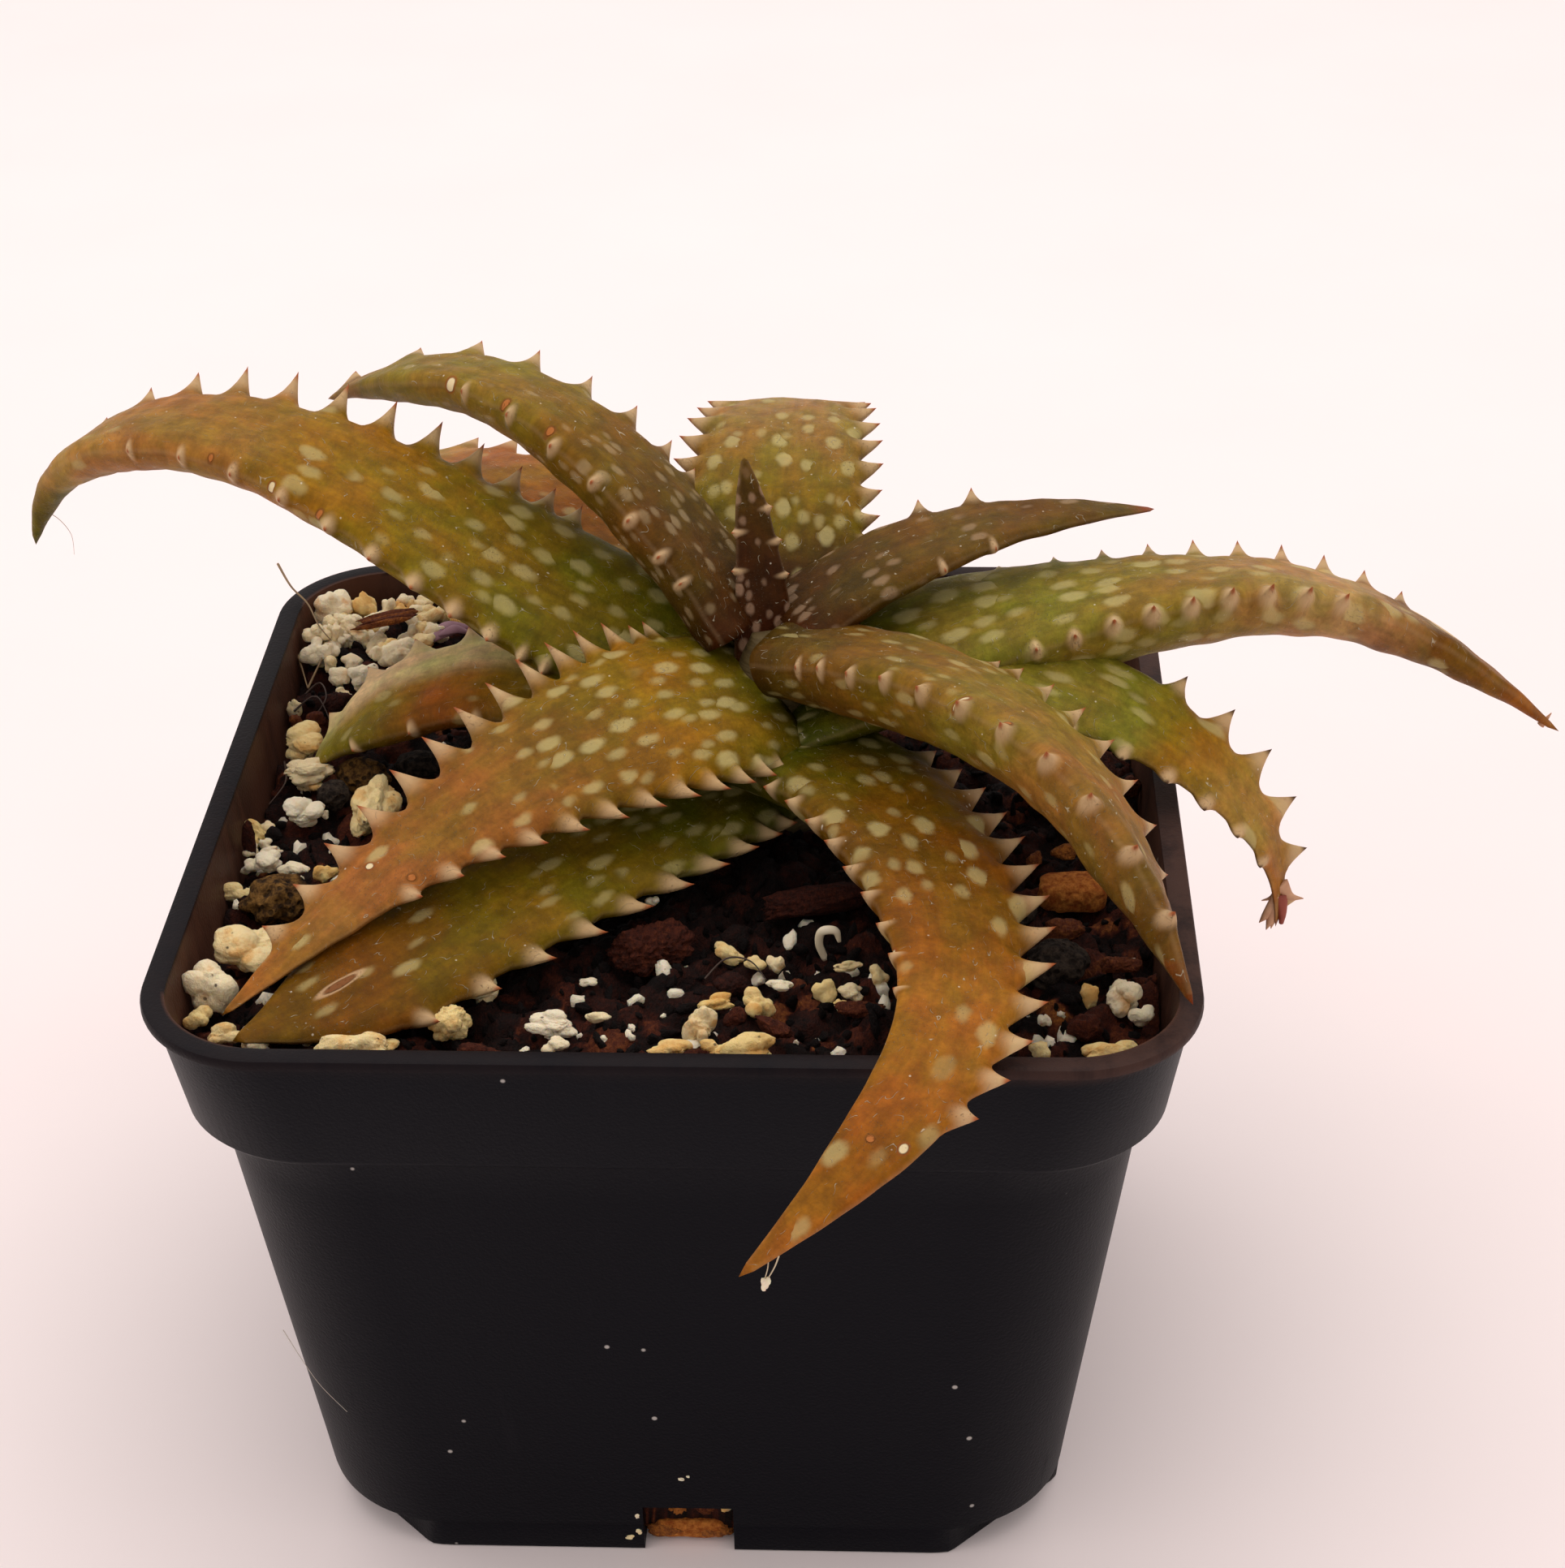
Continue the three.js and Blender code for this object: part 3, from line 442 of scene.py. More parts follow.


# %% [markdown]
# Moulded black plastic is never quite black. The real pot is charcoal with a satin sheen, a fine
# moulding grain, faint cloudy scuffs and some dust. Noise makes the clouds, and small cells of a
# Voronoi pattern, kept only near their middles, make the dust. The top of the lip's right side gets a
# painted brown reflection, and soil has dried to a brown layer on the wall's inside.

# %% The pot's plastic
def pot_plastic():
    finish = Finish("pot_plastic")
    where = finish.place()
    clouds = finish.noise(where, 0.05, 4.0, 0.6)
    grain = finish.noise(where, 3.0, 2.0)
    speck = finish.step(finish.cells(where, 0.16), 0.055, 0.03)
    scuff = finish.noise(finish.stretched(where, (0.4, 0.4, 0.05)), 0.5, 5.0, 0.7)
    scuffed = finish.step(scuff, 0.6, 0.78)
    colour = finish.blend(clouds, paint("#030309"), paint("#08080f"))
    colour = finish.blend(scuffed * 0.12, colour, paint("#2c282c"))
    colour = finish.blend(speck * 0.6, colour, paint("#cfc8c2"))
    # Painted reflection: the top of the lip's right side is browned in patches, as if it mirrors warm light.
    lip_reflection = finish.step(finish.axis(where, 2), POT_HEIGHT - 3, POT_HEIGHT - 0.6)
    lip_reflection = lip_reflection * finish.step(finish.axis(where, 0), 10, RIM_HALF, 0.1, 1)
    lip_reflection = lip_reflection * finish.step(scuff, 0.3, 0.6, 0.4, 1)
    colour = finish.blend(lip_reflection * 0.36, colour, paint("#6e4e42"))
    silt = finish.attribute("inner_wall") * finish.step(scuff, 0.25, 0.6, 0.3, 0.7)
    colour = finish.blend(silt, colour, paint("#5a3a2c"))
    rough = 0.36 + 0.16 * clouds + 0.12 * scuffed + 0.1 * lip_reflection
    return finish.shader(bump=grain + 0.5 * scuff, depth=0.05, Base_Color=colour, Roughness=rough,
                         Specular_IOR_Level=0.08)


def mark_inner_wall(pot):
    """Marks the points of the wall's inner side above the step, where soil sticks to it."""
    x, y, z = np.array([point.co for point in pot.data.vertices]).T / MM
    inner = edge_distance(np.arctan2(y, x), RIM_HALF - LIP_WIDTH + 0.1, RIM_CORNER - LIP_WIDTH)
    set_values(pot, "inner_wall", (np.hypot(x, y) < inner) & (z > COLLAR_FOOT + WALL / 2))


pot = piece_from("nursery_pot", *skin_rings(pot_rings()), pot_plastic())
cut_slots(pot)
mark_inner_wall(pot)
pot.data.set_sharp_from_angle(angle=math.radians(SHARP_ANGLE))
carry(pot, "pot_plastic", "pot")

# %% [markdown]
# ## The leaves
# A leaf is a long blade that narrows to its tip. Its face is almost flat and its belly is round, so a
# cross-section looks like a D lying on its back. The midline is walked from the base in short steps,
# and at each step the leaf has a direction, a side and an up. `climb` and `heading` are that
# direction in degrees at even steps, `roll` turns the blade about it, and `half` is the half width.
# `thick` is the depth of the belly where the leaf is widest, and `left` and `right` are the teeth.

# %% The leaves' sizes, in millimetres and degrees
TIP_HALF = 0.3
LAST_STATION = 0.985
FACE_CROWN = 0.11
TOOTH_HALF_BASE = 2.3
SMALL_TOOTH_BASE = 0.35
TOOTH_SLIMMEST = 2.4
TOOTH_HOLLOW = 1.7
LEAVES = {
    "leaf_centre_young": {
        "start": (7.4, 7, 80), "length": 22.5, "climb": (81, 76, 71, 67, 67),
        "heading": (100, 104, 108, 112, 113), "roll": (0, 0, 0),
        "half": (3.4, 3.1, 2.7, 2.2, 1.6), "thick": 2,
        "left": (11, 15, 2, 0.6, 0.2, 0, 0.2, 1), "right": (10, 17, 3, 0.6, 0.2, 0, 0.2, 1)},
    "leaf_left_high": {
        "start": (5.8, 8.9, 84.5), "length": 64.7, "climb": (54.5, 37.5, 15.5, -13.5, -36.5),
        "heading": (150, 148, 147.5, 149.5, 151), "roll": (9, 9, -6),
        "half": (5.7, 6, 5.8, 4.8, 3.6), "thick": 5.9,
        "left": (7.5, 39.5, 7, 1.3, 0.1, 0, 0.2, 1.25), "right": (16.5, 61.5, 8, 3.6, 0.3, 0, 0.2, 1.25)},
    "leaf_right_young": {
        "start": (9.6, 8.3, 84.7), "length": 42.5, "climb": (40.5, 21.5, 8.5, -2.5, -11),
        "heading": (19.5, 18.5, 18.5, 18, 18), "roll": (2, 7, -1),
        "half": (6.4, 5.8, 4.9, 3.6, 2.3), "thick": 3.7,
        "left": (18, 23.5, 2, 1.8, 0.3, 0, 0.5, 1), "right": (17, 23, 2, 0.8, 0.1, 0, 0.2, 1)},
    "leaf_front_right": {
        "start": (8.6, 5, 84.7), "length": 67.6, "climb": (11.5, 5, -8.5, -25, -41),
        "heading": (-28.5, -39, -51, -63, -73), "roll": (-2, -25.5, -81.5),
        "half": (5.5, 6.5, 6.3, 5.2, 3.9), "thick": 7,
        "left": (21.6, 52.6, 8, 3.8, -0.15, 0.18, 0.3, 1.29), "right": (7, 60, 11, 1.9, 0, 0.4, 0.5, 1.21)},
    "leaf_left_long": {
        "start": (4, 7.5, 78.8), "length": 96, "climb": (21, 26, 17.5, -18, -80.5),
        "heading": (170.5, 164.5, 162, 160, 163.5), "roll": (-27, -10, 8),
        "half": (8.8, 8.8, 7.9, 6.5, 5.4), "thick": 6.9,
        "left": (17.5, 69, 11, 2, -0.1, -0.45, 0.2, 1.3), "right": (23.5, 81, 12, 3.6, 0, 0.1, 0.5, 1.17)},
    "leaf_right_long": {
        "start": (10.8, 7.2, 78.7), "length": 88.4, "climb": (24.5, 12, 0, -29.5, -45),
        "heading": (6, 7.5, 7.5, 2, -3), "roll": (28, -9, -13),
        "half": (7.9, 7.9, 7.2, 5.5, 3.4), "thick": 8.1,
        "left": (23.4, 66.9, 10, 2.6, 0.05, 0.6, 0.6, 0.91), "right": (24.5, 57, 9, 2.4, 0, 0.2, 0.8, 1)},
    "leaf_front_left_upper": {
        "start": (7.4, 5, 77.8), "length": 68.9, "climb": (28, -1, -15.5, -22, -21),
        "heading": (-134, -141, -144, -139.5, -132.5), "roll": (-23.5, -15.5, 8),
        "half": (9.2, 9.5, 7.6, 5, 3.1), "thick": 4.5,
        "left": (6, 48, 12, 3.2, -0.4, 0, 0.2, 1.15), "right": (9, 59, 14, 4, 0.3, 0, 0.2, 1.33)},
    "leaf_back": {
        "start": (7.4, 9.8, 79.5), "length": 65.5, "climb": (52.5, 27, -2.5, -30.5, -53.5),
        "heading": (88.5, 88.5, 88.5, 88.5, 88.5), "roll": (1, 0, -2),
        "half": (10, 9.5, 8.7, 7.2, 5.2), "thick": 5,
        "left": (14, 59, 11, 2.8, 0.1, 0, 0.2, 1.2), "right": (14, 58, 11, 2.8, 0.1, 0, 0.2, 1.2)},
    "leaf_back_left_old": {
        "start": (5.5, 9.2, 76.3), "length": 66, "climb": (32, 20.5, 6.5, -10.5, -25.5),
        "heading": (133, 133.5, 134, 134.5, 135), "roll": (0, 0, 0),
        "half": (7.2, 6.6, 5.8, 4.7, 3.3), "thick": 4,
        "left": (16, 60, 9, 2.8, 0.2, 0, 0.2, 1.1), "right": (16, 61, 9, 2.8, 0.2, 0, 0.2, 1.1)},
    "leaf_right_low": {
        "start": (10.6, 6.5, 75.3), "length": 67.6, "climb": (33.5, 11.5, -19.5, -47, -99),
        "heading": (-6.5, -10, -15, -15.5, -17.5), "roll": (-1, 15.5, 11.5),
        "half": (8.5, 7.4, 6.3, 5, 3.1), "thick": 3.9,
        "left": (40, 64.8, 6, 2.8, 0.1, -0.1, 0.5, 0.94), "right": (32, 58, 6, 1.8, 0.1, 0, 0.2, 0.9)},
    "leaf_front_sickle": {
        "start": (9.1, 4.4, 73), "length": 90, "climb": (15, 2, -4, -12, -34),
        "heading": (-50.5, -66.5, -84, -119, -153), "roll": (-4, -8.5, -15.5),
        "half": (8.7, 8.1, 7.1, 5.3, 3.7), "thick": 5.1,
        "left": (13, 67, 13, 3.5, -0.2, 0, 0.2, 1), "right": (12.5, 54.5, 9, 1.4, -0.3, -0.4, 0.2, 1)},
    "leaf_left_low": {
        "start": (4.5, 7.5, 71.6), "length": 52, "climb": (23.5, 13.5, -3, -27.5, -58.5),
        "heading": (173.5, 172.5, 174, 178.5, 184.5), "roll": (0, -13.5, -9.5),
        "half": (6.7, 6.7, 6.5, 6, 5.2), "thick": 4.5,
        "left": (20, 44, 4, 1.2, 0.3, 0, 0.2, 1), "right": (25, 47, 5, 2.2, 0.3, 0, 0.2, 1)},
    "leaf_front_left_lower": {
        "start": (5.7, 4.5, 69.1), "length": 66, "climb": (7.5, 3, -3, -9.5, -7),
        "heading": (-129, -130.5, -134, -140, -151), "roll": (-5, -12.5, -11),
        "half": (8.2, 8.1, 7.7, 7.4, 6.9), "thick": 4,
        "left": (5, 50.5, 10, 3.2, -0.5, 0, 0.2, 1.25), "right": (9, 40, 7, 3.4, 0.2, 0, 0.2, 1.25)},
}
print("leaves:", len(LEAVES))


# %% [markdown]
# A Catmull-Rom curve gives smooth values between the numbers of the table. The midline is then the sum
# of many short steps, which is easier than a Bezier curve when the directions are what is known.

# %% The midline and the blade's directions
MIDLINE_STEPS = 480


def along(values, t):
    """The value at t, from 0 to 1, of a smooth curve through evenly spaced values."""
    values = np.asarray(values, float)
    before = 2 * values[0] - values[1]
    after = 2 * values[-1] - values[-2]
    padded = np.concatenate([[before], values, [after]])
    last = len(values) - 1
    place = np.clip(t, 0, 1) * last
    k = np.minimum(place.astype(int), last - 1)
    f = place - k
    a, b, c, d = padded[k], padded[k + 1], padded[k + 2], padded[k + 3]
    return 0.5 * (2 * b + (c - a) * f + (2 * a - 5 * b + 4 * c - d) * f ** 2
                  + (3 * b - a - 3 * c + d) * f ** 3)


def blade_axes(leaf, t):
    """The direction along the leaf, towards its left margin and up from its face."""
    climb = np.radians(along(leaf["climb"], t))
    heading = np.radians(along(leaf["heading"], t))
    roll = np.radians(along(leaf["roll"], t))[:, None]
    tangent = np.stack([np.cos(climb) * np.cos(heading), np.cos(climb) * np.sin(heading), np.sin(climb)], 1)
    level = np.stack([-np.sin(heading), np.cos(heading), np.zeros_like(heading)], 1)
    side = level * np.cos(roll) + np.cross(tangent, level) * np.sin(roll)
    return tangent, side, np.cross(tangent, side)


def midline(leaf, places):
    """Points of the leaf's midline at these distances from its base."""
    t = (np.arange(MIDLINE_STEPS) + 0.5) / MIDLINE_STEPS
    steps = blade_axes(leaf, t)[0] * leaf["length"] / MIDLINE_STEPS
    walked = np.concatenate([[leaf["start"]], leaf["start"] + np.cumsum(steps, 0)])
    ends = np.linspace(0, leaf["length"], MIDLINE_STEPS + 1)
    return np.stack([np.interp(places, ends, walked[:, axis]) for axis in range(3)], 1)


# %% [markdown]
# The margins carry horny teeth. Each is a thorn with hollow flanks that leans towards the leaf's tip.
# Instanced thorns would show a seam at their foot, and a real tooth grows out of the skin, so the
# blade's own mesh is pulled out instead: it gets extra rows at each tooth, and the columns next to
# the margin follow the tooth by a share that fades inwards.

# %% The teeth
TOOTH_ROWS = (-1, -0.75, -0.52, -0.33, -0.18, -0.07, 0, 0.07, 0.18, 0.33, 0.52, 0.75, 1)
BLADE_ROW = 0.9
CLOSEST_ROWS = 0.045


def teeth_of(leaf, margin):
    """Place along the leaf, height and half width of each tooth of one margin.

    A margin is written as its first and last tooth's place, how many teeth it has, the tallest one's
    height, their lean towards the tip, by how much they grow taller towards the tip, their lift from
    the face, and their spread, which is above 1 where they stand wider apart towards the tip.
    """
    first, last, count, tallest, _, slant, _, spread = leaf[margin]
    k = np.arange(count)
    place = first + (last - first) * (k / (count - 1)) ** spread
    height = tallest * (0.5 + 0.5 * np.sin(math.pi * (k + 0.8) / (count + 0.6)))
    height = height * (1 + slant * (2 * k / (count - 1) - 1))
    gaps = np.concatenate([[np.inf], np.diff(place), [np.inf]])
    half = np.minimum(TOOTH_HALF_BASE, np.minimum(gaps[:-1], gaps[1:]) / 2)
    half = np.minimum(half, SMALL_TOOTH_BASE + 0.8 * height)
    return place, np.minimum(height, TOOTH_SLIMMEST * half), half


def tooth_rise(teeth, rows, inwards):
    """How far the skin stands out at each row, and the height of the tooth that stands there.

    A tooth is a cone with hollow flanks. inwards is how far the column lies from the margin, as a
    share of the tooth's root.
    """
    place, height, half = teeth
    reach = np.hypot((rows[:, None] - place) / half, inwards[:, None])
    rise = height * np.maximum(0, 1 - reach) ** TOOTH_HOLLOW
    best = rise.argmax(1)
    return rise[np.arange(len(rows)), best], height[best]


def rows_of(leaf, margins):
    """Distances from the base where the blade has a row of points."""
    tips = np.concatenate([place for place, _, _ in margins.values()])
    rows = [np.arange(0, LAST_STATION * leaf["length"], BLADE_ROW), [LAST_STATION * leaf["length"]]]
    for place, _, half in margins.values():
        rows.append((place[:, None] + half[:, None] * np.array(TOOTH_ROWS)).ravel())
    rows = np.unique(np.round(np.concatenate(rows), 4))
    rows = rows[(rows >= 0) & (rows <= LAST_STATION * leaf["length"])]
    kept = [rows[0]]
    for row in rows[1:]:
        is_tip = np.abs(tips - row).min() < 1e-3
        if row - kept[-1] >= CLOSEST_ROWS:
            kept.append(row)
        elif is_tip:
            kept[-1] = row
    return np.array(kept)


# %% [markdown]
# Each leaf is a grid of points: rows lie across it, and columns at fixed shares of its half width, first
# over the face and then back under the belly. Columns are dense at the margin, where the teeth are.

# %% The blade
FACE_HALF = (1, 0.997, 0.985, 0.955, 0.91, 0.85, 0.76, 0.64, 0.48, 0.3, 0.1)
FACE_SHARES = FACE_HALF + tuple(-share for share in reversed(FACE_HALF))
BELLY_HALF = (0.25, 0.45, 0.62, 0.76, 0.86, 0.93, 0.97, 0.993, 0.998, 0.9994)
BELLY_SHARES = tuple(-share for share in reversed(BELLY_HALF)) + (0,) + BELLY_HALF
TOOTH_ROOT = 2.5
SHOULDER = 0.2
SHOULDER_MOST = 1.1
SHOULDER_START = 0.7
EDGE_LEVEL = -0.5
FLARE = 0.2


def ripple_of(leaf, rows, across):
    """A slow unevenness of the skin, as a living leaf has."""
    seed = leaf["length"]
    return (0.12 * np.sin(0.55 * rows + 0.3 * across + seed) * np.cos(0.5 * across + 2 * seed)
            + 0.06 * np.sin(1.3 * rows - 0.9 * across + 3 * seed))


def blade_column(leaf, rows, axes, share, belly, margins):
    """One column of points along the leaf, with its leaf coordinates and its share of the teeth."""
    tangent, side, up = axes
    half = along((*leaf["half"], TIP_HALF), rows / leaf["length"])
    depth = leaf["thick"] * half / max(leaf["half"])
    bulge = 1 - share * share
    shoulder = np.minimum(SHOULDER_MOST, SHOULDER * depth)
    if belly:
        height = shoulder * EDGE_LEVEL - (depth + shoulder * EDGE_LEVEL) * math.sqrt(bulge)
    else:
        beyond = max(0, (abs(share) - SHOULDER_START) / (1 - SHOULDER_START))
        height = FACE_CROWN * half * (1 - share ** 4) + shoulder * (math.sqrt(1 - beyond ** 2) + EDGE_LEVEL)
    inwards = np.hypot((1 - abs(share)) * half, height - shoulder * EDGE_LEVEL) / TOOTH_ROOT
    margin = "left" if share > 0 else "right"
    rise, tallest = tooth_rise(margins[margin], rows, inwards)
    hook = rise * np.sqrt(rise / tallest)
    lean, lift = leaf[margin][4], leaf[margin][6] + FLARE
    across = share * half + math.copysign(1, share) * rise
    height = height + lift * hook + ripple_of(leaf, rows, across) * np.clip(half / 3, 0, 1)
    points = (midline(leaf, rows) + side * across[:, None] + up * height[:, None]
              + tangent * (lean * hook)[:, None])
    drop = np.hypot((1 - abs(share)) * half, height - shoulder * EDGE_LEVEL)
    unrolled = across + (math.copysign(1, share) * (drop + (1 - abs(share)) * half) if belly else 0)
    place = np.stack([unrolled, rows, np.zeros(len(rows))], 1)
    return points, place, rise / tallest, np.maximum(0, 1 - inwards)


def grow_leaf(name, leaf, finish):
    margins = {margin: teeth_of(leaf, margin) for margin in ("left", "right")}
    rows = rows_of(leaf, margins)
    axes = blade_axes(leaf, rows / leaf["length"])
    columns = [(share, False) for share in FACE_SHARES] + [(share, True) for share in BELLY_SHARES]
    made = [blade_column(leaf, rows, axes, share, belly, margins) for share, belly in columns]
    points, places, teeth, edges = (np.stack([column[k] for column in made], 1) for k in range(4))
    all_points, faces = skin_rings(list(points))
    all_points[-1] = midline(leaf, np.array([leaf["length"]]))[0]
    piece = piece_from(name, all_points, faces, finish)
    ends = np.array([[0, 0, 0], [0, leaf["length"], 0]])
    place = np.concatenate([places.reshape(-1, 3), ends])
    attribute = piece.data.attributes.new("leaf_place", "FLOAT_VECTOR", "POINT")
    attribute.data.foreach_set("vector", place.ravel())
    for title, values in (("tooth", teeth), ("edge", edges)):
        set_values(piece, title, np.concatenate([values.ravel(), [0, 0]]))
    return piece


# %% [markdown]
# The skin is painted in the leaf's own coordinates: millimetres across, as if the skin was rolled out
# flat, and millimetres from the base. So the spots are longer along the leaf than across it, wherever
# the leaf bends. The ground colour of an old leaf runs from green at the base to rust at the tip, as on
# a plant that has stood in strong light, and the young leaves are maroon and brown. An entry lists the
# ground colours with their places between base and tip. Its spots have five numbers: how many of them
# show at the base and at the tip, the width and length of the patch around each, and their strength.

# %% Leaf colours
COLOUR_CARD = (
    "deep #3c3e04, green #4e4c06, moss #64580a, olive #7b6010, dusk #6c4c08, amber #6e4408, "
    "gold #8e6410, khaki #866a22, sand #987238, buff #a47a38, fawn #94662a, rust #8c5010, "
    "ginger #82500f, apricot #9a621c, brown #7a541e, tan #7a5814, drab #624412, bark #6a4a1c, "
    "umber #4c320a, maroon #3c1c06, red #8a3a1a, copper #8a5a20, clay #98602a, lime #7e7022, "
    "beige #b08650")
COLOURS = {name: paint(code) for name, code in (entry.split() for entry in COLOUR_CARD.split(", "))}
SKINS = {
    "leaf_centre_young": {
        "ground": "maroon 0, maroon 0.5, umber 0.85, drab 1",
        "spots": (0.75, 0.6, 1.4, 2.0, 0.45), "spot_colour": paint("#c09a7c")},
    "leaf_left_high": {
        "ground": "maroon 0, umber 0.1, drab 0.25, tan 0.42, khaki 0.6, khaki 0.85, brown 1",
        "spots": (0.6, 0.1, 1.7, 2.6, 0.4), "spot_colour": paint("#b8a078")},
    "leaf_right_young": {
        "ground": "maroon 0, umber 0.15, drab 0.35, bark 0.5, drab 0.7, drab 0.92, red 1",
        "spots": (0.5, 0.25, 1.8, 2.8, 0.4), "spot_colour": paint("#b89878")},
    "leaf_front_right": {
        "ground": "umber 0, drab 0.1, tan 0.25, khaki 0.45, fawn 0.62, brown 0.8, drab 0.94, red 1",
        "spots": (0.5, 0.3, 2.0, 3.8, 0.42)},
    "leaf_left_long": {
        "ground": "green 0, moss 0.14, olive 0.33, gold 0.5, fawn 0.64, fawn 0.74, buff 0.85, moss 0.95, "
                  "moss 1",
        "spots": (0.85, 0.12, 2.6, 4.2, 0.46)},
    "leaf_right_long": {
        "ground": "green 0, moss 0.08, lime 0.18, lime 0.32, khaki 0.44, sand 0.56, beige 0.66, "
                  "amber 0.78, ginger 0.9, rust 1",
        "spots": (0.8, 0.4, 2.6, 4.2, 0.5)},
    "leaf_front_left_upper": {
        "ground": "moss 0, olive 0.12, gold 0.22, tan 0.33, copper 0.45, copper 0.62, clay 0.8, apricot 1",
        "spots": (0.9, 0.06, 2.3, 4.0, 0.6)},
    "leaf_back": {
        "ground": "maroon 0, umber 0.15, olive 0.28, sand 0.6, sand 1",
        "spots": (0.8, 0.5, 2.5, 3.4, 0.55)},
    "leaf_back_left_old": {
        "ground": "moss 0, gold 0.3, rust 0.45, apricot 0.6, clay 0.72, buff 0.85, gold 1",
        "spots": (0.4, 0.3, 2.6, 3.4, 0.5)},
    "leaf_right_low": {
        "ground": "deep 0, moss 0.25, lime 0.4, lime 0.56, gold 0.64, buff 0.78, fawn 0.88, rust 0.95, "
                  "red 1",
        "spots": (0.6, 0.3, 2.2, 5, 0.5), "tooth_tips": paint("#3a1c10")},
    "leaf_front_sickle": {
        "ground": "deep 0, green 0.08, dusk 0.22, amber 0.36, ginger 0.5, apricot 0.62, rust 0.85, "
                  "apricot 1",
        "spots": (0.7, 0.3, 2.8, 4.4, 0.5)},
    "leaf_left_low": {
        # Its far side is painted pale, a painted highlight where light falls on it.
        "ground": "fawn 0, fawn 0.3, gold 0.45, rust 0.62, olive 0.8, lime 1", "lit_far_side": paint("#d0bc84"),
        "spots": (0.7, 0.3, 2, 3, 0.35)},
    "leaf_front_left_lower": {
        "ground": "green 0, moss 0.25, olive 0.5, dusk 0.68, amber 0.8, amber 0.9, dusk 1",
        "spots": (0.85, 0.4, 2.2, 4.8, 0.5)},
}
SPOT_COLOUR = paint("#c8b87c")
SEED_PER_LENGTH = 7.3
GREEN_TINT = (0.88, 1.05, 0.86)
RED_TINT = (1.1, 0.95, 1.12)
HORN = paint("#ccaa80")
HORN_TIP = paint("#a04c24")


# %% [markdown]
# Old wounds show as small round scars: some with a pale scab in a rusty ring, some only rusty, and one
# long slit with cream lips. Each is listed in leaf coordinates and painted by its distance
# from the scar's middle.

# %% The scars: across, along, half width, half length and kind
SCAR_PAINTS = {
    "scab": (paint("#e2cda2"), paint("#8a4a1e")),
    "rust": (paint("#b06a34"), paint("#7a4a1c")),
    "slit": (paint("#80502c"), paint("#c8a27a")),
}
SCARS = {
    "leaf_left_high": (
        (4.5, 41.8, 0.5, 0.5, "scab"), (4.9, 34.2, 0.38, 0.38, "rust"), (5.2, 28.2, 0.38, 0.38, "rust")),
    "leaf_left_long": (
        (6.9, 51.4, 0.36, 0.36, "scab"), (6.1, 59, 0.28, 0.28, "rust"), (7.4, 45.4, 0.34, 0.34, "rust")),
    "leaf_front_right": ((-6.3, 29.2, 0.7, 0.62, "scab"), (-6, 35.2, 0.42, 0.42, "rust")),
    "leaf_front_left_upper": ((-1.2, 48.6, 0.4, 0.4, "scab"), (3.2, 46.6, 0.4, 0.45, "rust")),
    "leaf_front_sickle": (
        (-0.3, 73.4, 0.4, 0.4, "rust"), (2.5, 72.4, 0.4, 0.5, "scab"), (-6.2, 48.2, 0.4, 0.5, "scab")),
    "leaf_front_left_lower": ((0.1, 54.6, 0.42, 1.9, "slit"),),
}


def with_scars(finish, colour, leaf_place, scars):
    """Paints the scars over the colour. Also gives a height that is 1 on them."""
    height = 0.0
    for across, along_leaf, half_width, half_length, kind in scars:
        middle, ring = SCAR_PAINTS[kind]
        moved = finish.vector_maths("SUBTRACT", leaf_place, (across, along_leaf, 0))
        moved = finish.stretched(moved, (1 / half_width, 1 / half_length, 1))
        away = finish.vector_maths("LENGTH", moved, output=1)
        colour = finish.blend(finish.step(away, 1.7, 1.2) * 0.75, colour, ring)
        inside = finish.step(away, 1.1, 0.8)
        colour = finish.blend(inside, colour, middle)
        height = finish.maths("MAXIMUM", inside, height)
    return colour, height


# %% [markdown]
# The skin is laid on in layers, and each one is a colour with its own mask: the ramp of ground colours,
# streaks and blotches, a green or red tint, spots, dry residue and scratches, dust, horn on the teeth,
# and at last the scars. The same masks raise the bump, so that colour and relief agree.

